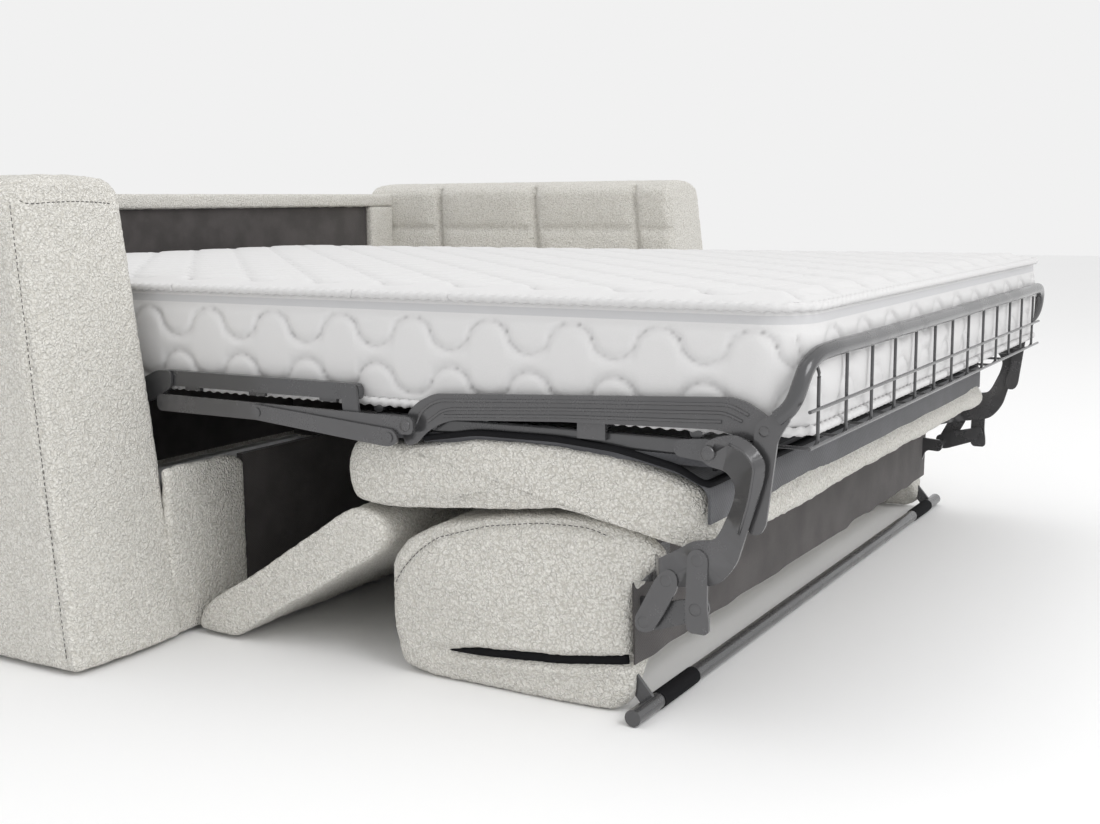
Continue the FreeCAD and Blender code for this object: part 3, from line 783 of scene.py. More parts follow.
BACK_LIP_DEPTH = 0.027
BACK_LIP_HEIGHT = 0.035
BLOCK_WIDENED = 0.012
BLOCK_STEP = 0.0045
BLOCK_CORNER = 0.0078
BLOCK_ROUND_WIDTH = 0.045
BLOCK_ROUND_DROP = 0.022
LINING_CLEAR = 0.0002
LINING_THICKNESS = 0.0010
LINING_FRONT = 0.03
LINING_REAR = 0.002
LINING_MARGIN = 0.01
PAD_CROWN = 0.016
PAD_CROWN_ROOM = 0.012


class SLEEPER_OT_back(bpy.types.Operator):
    """The upholstered back with its rolled top lip and end post"""
    bl_idname = "sleeper.back"
    bl_label = "Back"

    def execute(self, context):
        low, high = box_of("back_shell")
        front = low[1] + BACK_LIP_DEPTH
        lip = high[2] - BACK_LIP_HEIGHT
        outline = np.array([(front, low[2]), (high[1], low[2]), (high[1], high[2]),
                            (low[1], high[2]), (low[1], lip), (front, lip)])
        loop = smooth_loop(outline, 0.006, 0.006)
        roll = roll_shell(loop, low[0], high[0], edge=0.004, bulge=0.0, step=0.009, rings=6)
        put("back_boucle", *stuffed(roll, 3), "sofa", "boucle", ["back_shell"])
        points, quads = soft_box(*box_of("back_end_post"), radius=0.011, step=0.005)
        put("back_end_boucle", nubs(points, quads, 4), quads, "sofa", "boucle",
            ["back_end_post"])
        return {"FINISHED"}


class SLEEPER_OT_base(bpy.types.Operator):
    """The boucle block beside the near arm at the base"""
    bl_idname = "sleeper.base"
    bl_label = "Base"

    def execute(self, context):
        low, high = box_of("base_end_block")
        low[0] -= BLOCK_WIDENED
        share, quads = box_grid(low, high, BLOCK_STEP)
        radius = np.minimum(BLOCK_CORNER, 0.5 * (high - low).min())
        points = rounded(low + share * (high - low), low, high, radius)
        inner = np.clip(1 - (high[0] - points[:, 0]) / BLOCK_ROUND_WIDTH, 0, 1)
        drop = BLOCK_ROUND_DROP * (1 - np.sqrt(1 - inner ** 2 * 0.97))
        points[:, 2] -= drop * share[:, 2] ** 6
        put("base_end_boucle", nubs(points, quads, 6), quads, "sofa", "boucle",
            ["base_end_block"])
        return {"FINISHED"}


class SLEEPER_OT_bay_lining(bpy.types.Operator):
    """The dark cloth on the end seat's side inside the bed bay"""
    bl_idname = "sleeper.bay_lining"
    bl_label = "Bay lining"

    def execute(self, context):
        seat_low, seat_high = box_of("end_seat_box")
        inner, outer = seat_low[0] - LINING_CLEAR, seat_low[0] - LINING_CLEAR - LINING_THICKNESS
        low = np.array([outer, seat_low[1] + LINING_FRONT, seat_low[2] + LINING_MARGIN])
        high = np.array([inner, seat_high[1] - LINING_REAR, seat_high[2] - LINING_MARGIN])
        points, quads = soft_box(low, high, radius=0.0003, step=0.03)
        put("bay_side_lining", points, quads, "sofa", "dark_lining", crisp=30)
        return {"FINISHED"}


class SLEEPER_OT_end_seat(bpy.types.Operator):
    """The fixed end seat: an upholstered box with a crowned pad"""
    bl_idname = "sleeper.end_seat"
    bl_label = "End seat"

    def execute(self, context):
        points, quads = soft_box(*box_of("end_seat_box"), radius=0.018, step=0.010)
        put("end_seat_boucle", nubs(points, quads, 7), quads, "sofa", "boucle",
            ["end_seat_box"])
        low, high = box_of("end_seat_pad")
        points, quads = soft_box(low, high - [0, 0, PAD_CROWN_ROOM], radius=0.024, step=0.008)
        share = (points - low) / (high - low)
        crown = np.sin(math.pi * np.clip(share[:, 0], 0, 1)) * np.sin(
            math.pi * np.clip(share[:, 1], 0, 1))
        points[:, 2] += PAD_CROWN * np.sqrt(np.clip(crown, 0, 1)) * (share[:, 2] > 0.5)
        put("end_seat_pad_boucle", nubs(points, quads, 8), quads, "sofa", "boucle",
            ["end_seat_pad"], padded=0.8)
        return {"FINISHED"}


# Side outlines of the cushions, and the lines on them, in measured (y, z) places
SEAT_SIDE = side_points([
    (-291, 238), (-279, 276), (-286, 314), (-310, 329), (-372, 324), (-430, 331), (-508, 343),
    (-629, 344), (-715, 338), (-790, 320), (-830, 305), (-834, 268), (-850, 262), (-856, 244),
    (-848, 227), (-824, 222), (-780, 236), (-628, 262), (-441, 240), (-350, 234)])
FELT_LINE = side_points([
    (-425, 332), (-508, 345), (-629, 346), (-715, 340), (-800, 322), (-832, 309), (-839, 300),
    (-839, 264)])
FELT_EDGE = side_points([
    (-425, 333), (-508, 347), (-629, 348), (-715, 342), (-800, 325), (-838, 307)])
BACK_SIDE = side_points([
    (-353, 115), (-354, 158), (-380, 189), (-441, 222), (-537, 242), (-628, 252), (-700, 250),
    (-727, 236), (-730, 189), (-730, 60), (-728, 12), (-703, 0), (-626, -1), (-501, -1),
    (-419, 0), (-368, 9), (-351, 71)])
BACK_SLIT = side_points([(-428, 42), (-534, 52), (-627, 59), (-724, 71)])
BACK_SEAM = side_points([
    (-366, 128), (-380, 150), (-405, 176), (-438, 200), (-518, 225), (-600, 238), (-669, 240),
    (-702, 232)])
VALANCE_SIDE = side_points([
    (-303, 231), (-289, 226), (-125, 119), (-20, 52), (9, 17), (6, 6), (-70, 4), (-236, 103),
    (-340, 165), (-360, 194), (-345, 222)])


SEAT_PROUD = 0.006
FELT_PROUD = 0.008
FELT_THICKNESS = 0.0035
PIPING_RADIUS = 0.0040
PIPING_PITCH = 0.0062
BACK_PROUD = 0.004
VALANCE_PROUD = 0.012
UNDERSIDE_LIFT = 0.072
UNDERSIDE_START = row_y(-560)
FLAP_REACH = 0.052
FLAP_HEIGHT = 0.213
FLAP_START = row_y(-650)
SLIT = {"width": 0.0075, "depth": 0.016, "lips": 0.005}
SEAM = {"width": 0.0045, "depth": 0.0045}
ZIP_HALF_HEIGHT = 0.0082
ZIP_HALF_DEPTH = 0.0035
CLOTH_ABOVE_BOARD = 0.012
CLOTH_FOOT = 0.068
CLOTH_THICKNESS = 0.0022
CLOTH_DENTS = 0.0016


def seat_cords(x0, x1):
    """Two cords side by side round three sides of the felt: near side, foot and far side."""
    cords = []
    for inset in (0.0, PIPING_PITCH):
        y, z = FELT_EDGE[:, 0], FELT_EDGE[:, 1] + 0.0042
        near = np.stack([np.full(len(y), x0 - 0.001 + inset), y, z], -1)
        far = np.stack([np.full(len(y), x1 + 0.001 - inset), y, z], -1)[::-1]
        near[-1, 1] += inset
        far[0, 1] += inset
        cords.append(resample(np.concatenate([near, far]), 0.006, 0.03))
    return cords


class SLEEPER_OT_seat(bpy.types.Operator):
    """The seat cushion hung under the foot section, with its felt cover"""
    bl_idname = "sleeper.seat"
    bl_label = "Seat"

    def execute(self, context):
        low, high = box_of("seat_cushion")
        roll = roll_shell(smooth_loop(SEAT_SIDE, 0.0065, 0.012), low[0] - SEAT_PROUD,
                          high[0] + SEAT_PROUD, edge=0.022, bulge=0.006, step=0.0085, rings=16)
        put("seat_boucle", *stuffed(roll, 11, 0.0030), "foot_section", "boucle",
            ["seat_cushion"], padded=0.7)
        x0, x1 = low[0] - FELT_PROUD, high[0] + FELT_PROUD
        points, faces = ribbon(resample(FELT_LINE, 0.008), FELT_THICKNESS, x0, x1, 60)
        points[:, 2] += 0.0015 * lattice_noise(points, 0.09, 31)
        put("seat_felt", points, faces, "foot_section", "grey_felt", crisp=50)
        thread("seat_piping", seat_cords(x0, x1), "foot_section", PIPING_RADIUS,
               "black_rubber")
        return {"FINISHED"}


def shape_underside(points, from_end):
    """Draws the rear underside up between the ends, and lets a flap of each end cover hang
    out behind, by smooth steps along the bed and across the sofa."""
    rear = (UNDERSIDE_START - points[:, 1]) / 0.16
    points[:, 2] += UNDERSIDE_LIFT * ease(from_end / 0.10) * ease(rear) * np.clip(
        1 - points[:, 2] / 0.11, 0, 1)
    flap = ease((FLAP_START - points[:, 1]) / 0.075) * (1 - ease(from_end / 0.075))
    points[:, 1] -= FLAP_REACH * flap * groove(points[:, 2] - FLAP_HEIGHT, 0.034)


def press_line(points, end, line, inward, width, depth, lips=0.0):
    """Presses a sewn line into the end face by a groove's section; a slit also has raised
    lips and opens along its first quarter. Returns the line laid in the groove."""
    path = resample(line, 0.005, 0.02)
    face = points[end]
    spots = [np.argmin(np.hypot(*(face[:, 1:] - place).T)) for place in path]
    track = np.column_stack([face[spots, 0] + inward * depth * 0.55, path])
    gap, share = line_gap(face[:, 1:], path)
    taper = np.clip(share / 0.25, 0.2, 1) if lips else 1.0
    shift = depth * groove(gap, width) - lips * groove(gap - 0.014, 0.007)
    face[:, 0] += inward * shift * taper
    points[end] = face
    return track


def zip_cord(name, track):
    """An oval cord laid in a slit, which grows to its full height over a third of it."""
    tall = ZIP_HALF_HEIGHT * np.clip(np.linspace(0, 1, len(track)) / 0.35, 0.15, 1)[:, None]
    angle = np.linspace(0, 2 * math.pi, 12, endpoint=False)
    across = np.hypot(tall * np.cos(angle), ZIP_HALF_DEPTH * np.sin(angle))
    oval = ZIP_HALF_DEPTH * tall / across
    points, faces = tube_along(track, oval, len(angle))
    put(name, points, faces, "swing_back", "black_rubber")


def back_board_cloth():
    """A sheet over the board: it hangs to a ragged lower edge and is dented by noise."""
    low, high = box_of("back_board")
    columns, rows = 180, 14
    top = high[2] + CLOTH_ABOVE_BOARD
    x = np.linspace(low[0], high[0], columns)
    ragged = CLOTH_FOOT + 0.004 * lattice_noise(np.stack([x, x * 0, x * 0], -1), 0.05, 41)
    share = np.linspace(0, 1, rows)
    line = np.stack([np.full(rows, low[1] - 0.0005), top - share], -1)
    points, faces = ribbon(line, CLOTH_THICKNESS, low[0], high[0], columns)
    heights = points.reshape(columns, 2, rows, 3)[..., 2]
    heights[:] = top * (1 - share) + ragged[:, None, None] * share
    dents = two_noises(points, (0.11, 0.04), 0.5, (43, 44))
    points[:, 1] -= CLOTH_DENTS * dents + CLOTH_DENTS
    put("back_board_lining", points, faces, "swing_back", "dark_lining", ["back_board"],
        crisp=50)


class SLEEPER_OT_swing_back(bpy.types.Operator):
    """The back cushion that swings under the bed"""
    bl_idname = "sleeper.swing_back"
    bl_label = "Swinging back"

    def execute(self, context):
        low, high = box_of("back_cushion")
        points, quads, n, middle = roll_shell(
            smooth_loop(BACK_SIDE, 0.0048, 0.010), low[0] - BACK_PROUD, high[0] + BACK_PROUD,
            edge=0.020, bulge=0.008, step=0.0075, rings=34)
        points[:, 2] = np.maximum(points[:, 2], 0.001)
        shape_underside(points, np.minimum(points[:, 0] - low[0], high[0] - points[:, 0]))
        slits, sewn = [], []
        for inward, at in ((1, low[0]), (-1, high[0])):
            end = np.abs(points[:, 0] - at) < 0.03
            slits.append(press_line(points, end, BACK_SLIT, inward, **SLIT))
            sewn += stitches(press_line(points, end, BACK_SEAM, inward, **SEAM))
        put("back_cushion_boucle", *stuffed((points, quads, n, middle), 12, 0.0028),
            "swing_back", "boucle", ["back_cushion"], padded=0.8)
        for number, track in enumerate(slits):
            zip_cord("zip_%d" % number, track)
        thread("back_cushion_thread", sewn, "swing_back", STITCH_RADIUS)
        back_board_cloth()
        return {"FINISHED"}


class SLEEPER_OT_valance(bpy.types.Operator):
    """The sloping boucle panel below the seat front"""
    bl_idname = "sleeper.valance"
    bl_label = "Valance"

    def execute(self, context):
        low, high = box_of("valance")
        roll = roll_shell(smooth_loop(VALANCE_SIDE, 0.006, 0.011), low[0] - VALANCE_PROUD,
                          high[0] + VALANCE_PROUD, edge=0.012, bulge=0.0, step=0.0085,
                          rings=14)
        put("valance_boucle", *stuffed(roll, 13, 0.0026), "front_valance", "boucle",
            ["valance"], padded=0.6)
        return {"FINISHED"}


# Mattress

MATTRESS_LEFT, MATTRESS_RIGHT = (row_x(x) for x in MATTRESS_SIDES)
MATTRESS_LOW = 0.385
MATTRESS_HIGH = 0.530
MATTRESS_STEP = (0.0060, 0.0046, 0.0040)
MATTRESS_EDGES = [row_y(y) for y in (-953, -465, -305, 30, 185, 950)]
FOOT_CORNER = 0.060
HEAD_CORNER = 0.040
FOLD_AXIS_HEIGHT = 0.394
TAPE_LOW = 0.505
TAPE_MIDDLE = 0.5125
TAPE_HALF_HEIGHT = 0.0056
WAVE_LENGTH = 0.122
WAVE_START = row_y(24)
WAVE_POWER = 0.62
ROW_PITCH = 0.064
ROW_SWING = 0.0205
UPPER_ROW = (0.479, -0.021)
LOWER_ROW = (0.415, 0.020)
SIDE_QUILT_SHARE = 0.62
TOP_QUILT_SHARE = 0.95
SIDE_PUFF = 0.015
TOP_PUFF = 0.020
BARREL = 0.004
EDGE_FADE = 0.05
TOP_FLAT = 0.002
UNDER_FLAT = 0.0015
BORDER_TOP_SHARE = 0.83
ROPE_TWO_LOBES = 0.26
ROPE_STEP = 0.0030
ROPE_SIDES = 10
ROPE_TWIST = 0.034


def wave(run):
    """A cosine with its crests made round and full by a power below one."""
    w = np.cos(2 * math.pi * (run - WAVE_START) / WAVE_LENGTH)
    return np.sign(w) * np.abs(w) ** WAVE_POWER


def across_gap(offset, run, swing):
    """Distance square to a waved line: the offset divided by the slope's hypotenuse."""
    h = 0.004
    slope = swing * (wave(run + h) - wave(run - h)) / (2 * h)
    return np.abs(offset) / np.sqrt(1 + slope ** 2)


def top_quilt(x, y):
    """Rows of waved stitching run along the bed, each opposite in phase to the next."""
    across = (x - MATTRESS_LEFT) / ROW_PITCH
    near = np.full(len(x), 1.0)
    for step in (-1, 0, 1):
        row = np.round(across) + step
        swing = np.where(np.mod(row, 2) < 0.5, 1, -1) * ROW_SWING * wave(y)
        offset = x - MATTRESS_LEFT - row * ROW_PITCH - swing
        near = np.minimum(near, across_gap(offset, y, ROW_SWING))
    return puff(near, TOP_PUFF)


def side_quilt(run, z):
    """The border's two waved rows, then the flat tape above and the sewn foot below."""
    gap = np.minimum(np.abs(TAPE_LOW - z), z - MATTRESS_LOW + 0.003)
    for height, swing in (UPPER_ROW, LOWER_ROW):
        gap = np.minimum(gap, across_gap(z - height - swing * wave(run), run, abs(swing)))
    return SIDE_QUILT_SHARE * np.where(z > TAPE_LOW, 0.5, puff(gap, SIDE_PUFF))


def turn_corners(p, normal, walls, low, high, at_front, radius):
    """Squares with the corner's radius become quarter discs: each point keeps its direction
    from the corner's centre, and its distance becomes its larger offset."""
    cy = low[1] + radius if at_front else high[1] - radius
    for cx, at_left in ((low[0] + radius, True), (high[0] - radius, False)):
        dx = p[:, 0] - cx
        dy = p[:, 1] - cy
        inside = ((dx < 0) if at_left else (dx > 0)) & ((dy < 0) if at_front else (dy > 0))
        length = np.maximum(np.hypot(dx, dy), 1e-9)
        pull = np.where(inside, np.maximum(np.abs(dx), np.abs(dy)) / length, 1)
        p[:, 0] = cx + dx * pull
        p[:, 1] = cy + dy * pull
        wall = inside & walls
        normal[wall, 0] = (dx / length)[wall]
        normal[wall, 1] = (dy / length)[wall]


def mattress_section(y0, y1, front, rear):
    """A box grid whose free corners are turned to quarter circles and whose skin rises
    between the stitched lines of the top, the border and the underside."""
    low = np.array([MATTRESS_LEFT, y0, MATTRESS_LOW])
    high = np.array([MATTRESS_RIGHT, y1, MATTRESS_HIGH])
    grid, quads = box_grid(low, high, MATTRESS_STEP)
    p = low + grid * (high - low)
    on_top = grid[:, 2] > 0.999
    on_under = grid[:, 2] < 0.001
    near = grid[:, 0] < 0.001
    far = grid[:, 0] > 0.999
    foot = (grid[:, 1] < 0.001) & front
    head = (grid[:, 1] > 0.999) & rear
    normal = np.zeros_like(p)
    normal[:, 0] = 1.0 * far - near
    normal[:, 1] = 1.0 * head - foot
    run = np.where(near | far, p[:, 1], p[:, 0])
    for free, at_front, radius in ((front, True, FOOT_CORNER), (rear, False, HEAD_CORNER)):
        if free:
            turn_corners(p, normal, near | far | foot | head, low, high, at_front, radius)
    wall = (np.abs(normal[:, :2]).sum(axis=1) > 0)
    depth = sizes().quilt_depth
    rise = side_quilt(run, p[:, 2]) * depth
    share = (p[:, 2] - MATTRESS_LOW) / (MATTRESS_HIGH - MATTRESS_LOW)
    barrel = BARREL * (1 + np.sin(math.pi * share))
    p += normal * np.where(wall, rise - depth + barrel, 0)[:, None]
    edge = np.minimum(p[:, 0] - low[0], high[0] - p[:, 0])
    if front:
        edge = np.minimum(edge, p[:, 1] - low[1])
    if rear:
        edge = np.minimum(edge, high[1] - p[:, 1])
    edge = np.clip(edge / EDGE_FADE, 0, 1)
    top_rise = top_quilt(p[:, 0], p[:, 1])
    crown = edge * (TOP_FLAT + depth * TOP_QUILT_SHARE * top_rise)
    p[on_top, 2] += crown[on_top]
    p[on_under, 2] += UNDER_FLAT * edge[on_under]
    # Painted shade for the mattress finish: the deeper a crease of the border or top, the darker
    side_depth = 1 - np.clip(rise / depth / SIDE_QUILT_SHARE, 0, 1)
    crease_shade = np.where(wall & (share <= BORDER_TOP_SHARE), side_depth ** 2.6, 0)
    crease_shade = np.where(on_top & ~wall, (1 - top_rise) ** 2.2 * edge, crease_shade)
    return p, quads, crease_shade


def edge_paths(y0, y1, front, rear):
    """The mattress's plan outline: straight sides joined by quarter circles at free ends."""
    x0, x1 = MATTRESS_LEFT, MATTRESS_RIGHT
    if not front and not rear:
        return [resample([(x, y0), (x, y1)], ROPE_STEP) for x in (x0, x1)]
    radius = FOOT_CORNER if front else HEAD_CORNER
    end, inner, sign = (y0, y1, -1) if front else (y1, y0, 1)
    cy = end - sign * radius
    turn = np.linspace(0, math.pi / 2, 24)[1:]
    sine, cosine = radius * np.sin(turn), radius * np.cos(turn)
    left = np.stack([x0 + radius - cosine, cy + sign * sine], -1)
    right = np.stack([x1 - radius + np.append(0, sine), cy + sign * np.append(radius, cosine)], -1)
    line = np.concatenate([[(x0, inner), (x0, cy)], left, right, [(x1, inner)]])
    return [resample(line, ROPE_STEP)]


def rope_edge(name, y0, y1, front, rear, body):
    """Rope edges above and below: a two-lobed section that turns as it runs along."""
    angle = np.linspace(0, 2 * math.pi, ROPE_SIDES, endpoint=False)
    ropes = []
    for z in (MATTRESS_HIGH - 0.002, MATTRESS_LOW - 0.004):
        for path in edge_paths(y0, y1, front, rear):
            line = np.column_stack([path, np.full(len(path), z)])
            twist = 2 * math.pi * run_along(line)[:, None] / ROPE_TWIST
            lobes = 1 + ROPE_TWO_LOBES * np.cos(2 * (angle[None] - twist))
            ropes.append(tube_along(line, sizes().piping_radius * lobes, ROPE_SIDES))
    return put(name, *joined(ropes), body, "mattress_white")


class SLEEPER_OT_mattress(bpy.types.Operator):
    """The quilted mattress in three parts joined by two folds, with its rope edge"""
    bl_idname = "sleeper.mattress"
    bl_label = "Mattress"

    def execute(self, context):
        sections = (("foot", "foot_mattress", "foot_section"),
                    ("front_fold", "mattress_fold_front", ("mid_section", "foot_section")),
                    ("middle", "mid_mattress", "mid_section"),
                    ("rear_fold", "mattress_fold_rear", ("head_section", "mid_section")),
                    ("head", "head_mattress", "head_section"))
        for (name, node, body), y0, y1 in zip(sections, MATTRESS_EDGES, MATTRESS_EDGES[1:]):
            front, rear = name == "foot", name == "head"
            points, quads, crease_shade = mattress_section(y0, y1, front, rear)
            alone = body if isinstance(body, str) else None
            piece = put("mattress_" + name, points, quads, alone, "mattress_white", [node],
                        padded=0.9, crisp=60)
            # The painted crease shade is kept on each point for the mattress finish
            values = piece.data.attributes.new("crease_shade", "FLOAT", "POINT")
            values.data.foreach_set("value", crease_shade)
            edge = rope_edge("mattress_edge_" + name, y0, y1, front, rear, alone)
            if not alone:
                x, z = row_x(BED_MIDDLE), FOLD_AXIS_HEIGHT
                for soft in (piece, edge):
                    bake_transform(soft)
        return {"FINISHED"}


# Metalwork, cloth panels and nets kept from the frame

# The near end of the foot rail, from its hanger up and round to the level bar
RAIL_BEND = ((233, -928, 401), (234, -939, 408), (238, -948, 424),
             (242, -952, 443), (253, -955, 462), (281, -958, 473), (330, -963, 476),
             (420, -966, 476))
RAIL_RADIUS = 0.0102
WIRE_END = ((273, -963, 440), (273, -963, 452), (273, -958, 467))
WIRE_RADIUS = 0.0022
SWING_ARM_SET_IN = 0.036
SWING_ARM_BEND = (row_y(-788), row_y(-757))


def place_line(places):
    """Measured (x, y, z) places as an array of metres in the row frame."""
    return np.array([(row_x(x), row_y(y), z / 1000) for x, y, z in places])


def opposite(line):
    """A line mirrored to the other side of the bed."""
    return line * [-1, 1, 1] + [2 * row_x(BED_MIDDLE), 0, 0]


def bent_copy(side, bend):
    """A copy of a swing arm, cut across in its bend and set over there by a smooth step."""
    source = frame["nodes"][side + "_swing_arm"]
    name = side + "_swing_arm_bent"
    y0, y1 = SWING_ARM_BEND
    work = bmesh.new()
    work.from_mesh(source.data)
    work.transform(source.matrix_world)
    bmesh.ops.remove_doubles(work, verts=work.verts, dist=1e-6)
    for y in np.linspace(y0, y1, 7):
        bmesh.ops.bisect_plane(work, geom=work.verts[:] + work.edges[:] + work.faces[:],
                               plane_co=(0, y, 0), plane_no=(0, 1, 0))
    for vert in work.verts:
        vert.co.x += bend * float(ease((vert.co.y - y0) / (y1 - y0)))
    mesh = bpy.data.meshes.new(name)
    work.to_mesh(mesh)
    work.free()
    add_piece(name, mesh, "swing_back", "link_steel", [side + "_swing_arm"], crisp=35)


class SLEEPER_OT_bent_metal(bpy.types.Operator):
    """The bent foot rail, and the swing arms with their ends set in behind the cushion"""
    bl_idname = "sleeper.bent_metal"
    bl_label = "Bent metal"

    def execute(self, context):
        near = place_line(RAIL_BEND)
        path = resample(np.concatenate([near, opposite(near)[::-1]]), 0.006, 0.03)
        points, faces = tube_along(path, RAIL_RADIUS, 24)
        put("foot_rail", points, faces, "grille", "grey_frame", ["grille_tube"], crisp=50)
        wire = place_line(WIRE_END)
        thread("foot_rail_wire_ends", [wire, opposite(wire)], "grille", WIRE_RADIUS,
               "grey_frame")
        bent_copy("near", SWING_ARM_SET_IN)
        bent_copy("far", -SWING_ARM_SET_IN)
        return {"FINISHED"}


# Each rivet's body, its measured y, z and near x place, and its radius in millimetres
RIVETS = (("foot_section", -848, 356, 215.4, 8.6), ("stay", -837, 225, 213, 7.6),
          ("stay", -835, 164, 213, 7.6), ("rocker", -796, 195, 213, 7.6),
          ("rocker", -766, 139, 213, 7.6), ("drive", -409, 356, 217.6, 8.0),
          ("grille", -913, 385, 229, 6.5))
RIVET_SIDES = 20
RIVET_RINGS = 5
BESIDE_ARM = 214
FLAT_RIVET_SHARE = 0.55


def rivet(centre, radius, height, outward):
    """Half an ellipsoid on a flat back, its pole pointing along the x axis."""
    n = RIVET_SIDES
    tilt = np.linspace(0, math.pi / 2, RIVET_RINGS + 1)[1:]
    turn = np.linspace(0, 2 * math.pi, n, endpoint=False)
    x = np.concatenate([[height], np.repeat(height * np.cos(tilt), n), [-0.0004]])
    r = np.concatenate([[0], np.repeat(radius * np.sin(tilt), n), [0]])
    t = np.concatenate([[0], np.tile(turn, RIVET_RINGS), [0]])
    points = centre + np.stack([outward * x, r * np.cos(t), r * np.sin(t)], -1)
    j = np.arange(n)
    k = (j + 1) % n
    back = RIVET_RINGS * n + 1
    faces = list(np.stack([np.zeros(n, int), 1 + j, 1 + k], -1))
    faces += list(turned(ring_quads(RIVET_RINGS, n)) + 1)
    faces += list(np.stack([back - n + k, back - n + j, np.full(n, back)], -1))
    return points, faces if outward > 0 else [f[::-1] for f in faces]


class SLEEPER_OT_rivets(bpy.types.Operator):
    """Domed heads on the linkage pivots at both sides"""
    bl_idname = "sleeper.rivets"
    bl_label = "Rivets"

    def execute(self, context):
        for number, (body, y, z, x, radius) in enumerate(RIVETS):
            height = sizes().rivet_height * (FLAT_RIVET_SHARE if x < BESIDE_ARM else 1)
            near = place_line([(x, y, z)])
            for outward, side, centre in ((-1, "near", near), (1, "far", opposite(near))):
                points, faces = rivet(centre, radius / 1000, height, outward)
                put("rivet_%d_%s" % (number, side), points, faces, body, "link_steel",
                    crisp=50)
        return {"FINISHED"}


def dress_nodes(names):
    """Gives CAD nodes that stay as they are the finish of their slot."""
    for name in names:
        node = frame["nodes"][name]
        slot = next(s["material_slot"] for s in frame["record"]["subparts"] if s["node"] == name)
        node.data.materials.clear()
        node.data.materials.append(finishes()[slot])


class SLEEPER_OT_metalwork(bpy.types.Operator):
    """Finishes for the folding frame, links, leg and foot rail"""
    bl_idname = "sleeper.metalwork"
    bl_label = "Metalwork"

    def execute(self, context):
        dress_nodes(["mount_rails", "lift_front_links", "lift_rear_links", "head_frame",
                     "head_cross_tubes", "mid_rails", "mid_straps", "foot_side_tubes",
                     "foot_cross_tubes", "near_pressed_arm", "far_pressed_arm", "drive_bars",
                     "drive_stays", "valance_ears", "valance_brackets", "leg_rockers",
                     "leg_stays", "leg_bars", "leg_tube", "leg_sleeves", "grille_wires",
                     "grille_hangers"])
        return {"FINISHED"}


class SLEEPER_OT_panels(bpy.types.Operator):
    """Finishes for linings, felt, nets and glides"""
    bl_idname = "sleeper.panels"
    bl_label = "Panels and nets"

    def execute(self, context):
        dress_nodes(["back_lining", "base_front_panel", "seat_board", "seat_edging",
                     "head_mesh", "mid_mesh", "foot_mesh", "floor_glides"])
        return {"FINISHED"}


# Each lamp's place, aim, width and power
LAMPS = {"key": ((-1.7, -4.0, 3.4), (0.0, -0.2, 0.3), 2.4, 72),
         "fill": ((-1.0, -5.5, 2.2), (0.0, -0.3, 0.3), 4.0, 16),
         "top": ((0.5, 1.2, 4.5), (0.2, 0.0, 0.3), 4.0, 26)}
FLOOR_REACH = 14
FLOOR_POINTS = 41
WORLD_STRENGTH = 0.88
# The camera's place from the near arm's foot, its turns, and its lens in photograph pixels
CAMERA_PLACE = (ARM_ORIGIN[0] - 1.27, ARM_ORIGIN[1] - 1.4881, 0.652)
CAMERA_YAW = 1.0488
CAMERA_PITCH = 0.1506
CAMERA_ROLL = -0.0076
PHOTO_WIDTH, PHOTO_HEIGHT = 1100, 824
FOCAL_PIXELS = 1384.96
CENTRE_PIXEL = (549.35, 410.96)
SENSOR_WIDTH = 36


class SLEEPER_OT_stage(bpy.types.Operator):
    """Floor, soft studio light and the camera"""
    bl_idname = "sleeper.stage"
    bl_label = "Stage"

    def execute(self, context):
        scene = context.scene
        place_floor(scene)
        world = bpy.data.worlds.new("studio")
        scene.world = world
        world.use_nodes = True
        background = world.node_tree.nodes["Background"]
        background.inputs[0].default_value = (1, 1, 1, 1)
        background.inputs[1].default_value = WORLD_STRENGTH
        for name, (place, aim, width, power) in LAMPS.items():
            lamp = bpy.data.lights.new(name, "AREA")
            lamp.size = width
            lamp.energy = power
            holder = bpy.data.objects.new(name, lamp)
            scene.collection.objects.link(holder)
            holder.location = place
            ahead = Vector(aim) - Vector(place)
            holder.rotation_euler = ahead.to_track_quat("-Z", "Y").to_euler()
        scene.view_settings.view_transform = "Standard"
        place_camera(scene)
        return {"FINISHED"}


def place_floor(scene):
    """A flat square grid round the sofa, in a pale matt finish."""
    along = np.linspace(-FLOOR_REACH, FLOOR_REACH, FLOOR_POINTS)
    x, y = np.meshgrid(along, along, indexing="ij")
    points = np.stack([x, y, np.zeros_like(x)], -1).reshape(-1, 3)
    quads = squares(np.arange(len(points)).reshape(x.shape)).reshape(-1, 4)
    mesh = bpy.data.meshes.new("floor")
    mesh.from_pydata(points.tolist(), [], quads.tolist())
    floor = bpy.data.objects.new("floor", mesh)
    scene.collection.objects.link(floor)
    look = Finish("floor", 0.9, {"Specular IOR Level": 0.1})
    tint = look.noise(0.6, 2.0)
    look.paint(look.mix(tint * 0.3, (0.93, 0.93, 0.93, 1), (0.90, 0.90, 0.90, 1)))
    mesh.materials.append(look.material)


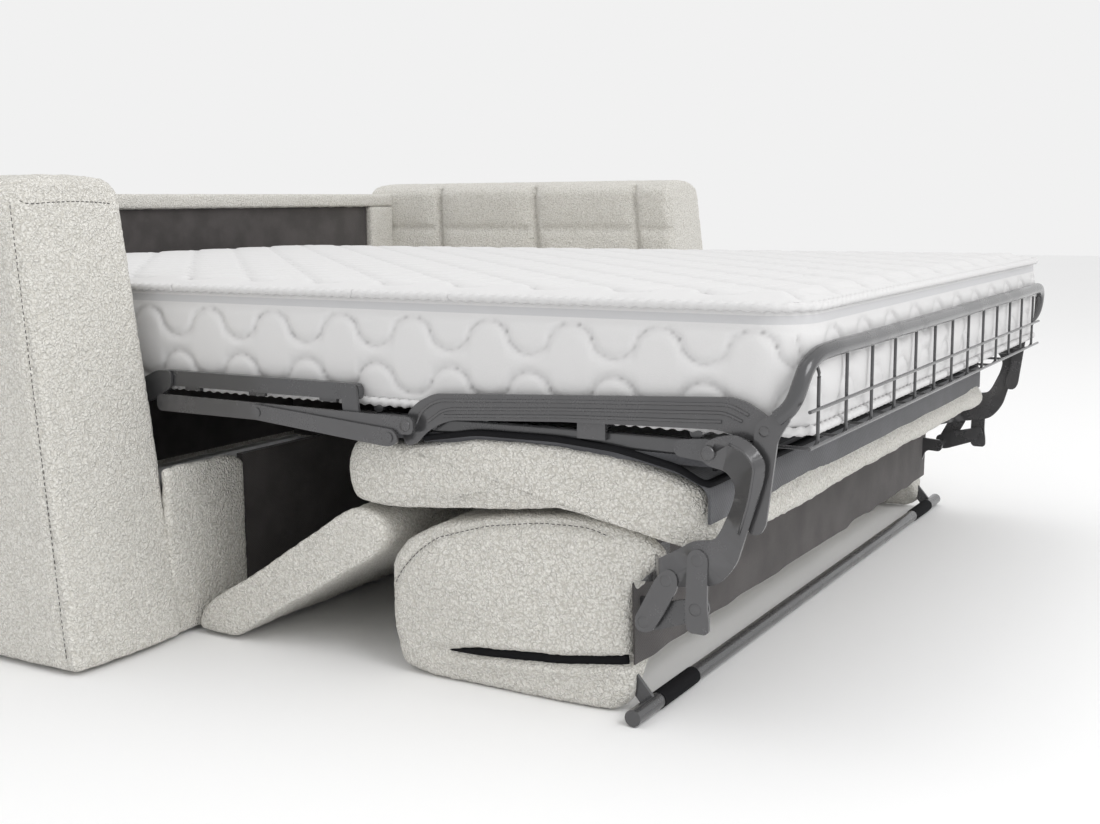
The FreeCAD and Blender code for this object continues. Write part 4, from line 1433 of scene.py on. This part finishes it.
def place_camera(scene):
    """The camera looks along its yaw and pitch, then turns about that line by its roll."""
    ahead = Vector((math.sin(CAMERA_YAW) * math.cos(CAMERA_PITCH),
                    math.cos(CAMERA_YAW) * math.cos(CAMERA_PITCH), -math.sin(CAMERA_PITCH)))
    level = Vector((math.cos(CAMERA_YAW), -math.sin(CAMERA_YAW), 0))
    upright = level.cross(ahead)
    right = math.cos(CAMERA_ROLL) * level + math.sin(CAMERA_ROLL) * upright
    up = -math.sin(CAMERA_ROLL) * level + math.cos(CAMERA_ROLL) * upright
    camera = bpy.data.cameras.new("camera")
    camera.sensor_width = SENSOR_WIDTH
    camera.lens = FOCAL_PIXELS / PHOTO_WIDTH * SENSOR_WIDTH
    camera.shift_x = (PHOTO_WIDTH / 2 - CENTRE_PIXEL[0]) / PHOTO_WIDTH
    camera.shift_y = (CENTRE_PIXEL[1] - PHOTO_HEIGHT / 2) / PHOTO_WIDTH
    camera.clip_end = 100
    holder = bpy.data.objects.new("camera", camera)
    turn = Matrix((right, up, -ahead)).transposed().to_4x4()
    holder.matrix_world = Matrix.Translation(CAMERA_PLACE) @ turn
    scene.collection.objects.link(holder)
    scene.camera = holder


STEPS = (SLEEPER_OT_arms, SLEEPER_OT_back, SLEEPER_OT_base, SLEEPER_OT_bay_lining,
         SLEEPER_OT_end_seat, SLEEPER_OT_rivets, SLEEPER_OT_bent_metal,
         SLEEPER_OT_seat, SLEEPER_OT_swing_back, SLEEPER_OT_valance, SLEEPER_OT_mattress,
         SLEEPER_OT_metalwork, SLEEPER_OT_panels, SLEEPER_OT_stage)


class SLEEPER_PT_panel(bpy.types.Panel):
    """Lists the steps that build the sofa"""
    bl_idname = "SLEEPER_PT_panel"
    bl_label = "Sleeper sofa"
    bl_space_type = "VIEW_3D"
    bl_region_type = "UI"
    bl_category = "Sleeper sofa"

    def draw(self, context):
        for group in (sizes(), colours()):
            for key in group.__annotations__:
                self.layout.prop(group, key)
        for step in STEPS:
            self.layout.operator(step.bl_idname)


CLASSES = (SleeperSizes, SleeperColours) + STEPS + (SLEEPER_PT_panel,)


def register():
    for cls in CLASSES:
        bpy.utils.register_class(cls)
    bpy.types.Scene.sleeper_sizes = bpy.props.PointerProperty(type=SleeperSizes)
    bpy.types.Scene.sleeper_colours = bpy.props.PointerProperty(type=SleeperColours)


def unregister():
    del bpy.types.Scene.sleeper_sizes
    del bpy.types.Scene.sleeper_colours
    for cls in reversed(CLASSES):
        bpy.utils.unregister_class(cls)


def main():
    """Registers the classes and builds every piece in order."""
    register()
    for step in STEPS:
        group, name = step.bl_idname.split(".")
        getattr(getattr(bpy.ops, group), name)()


if __name__ == "__main__":
    main()
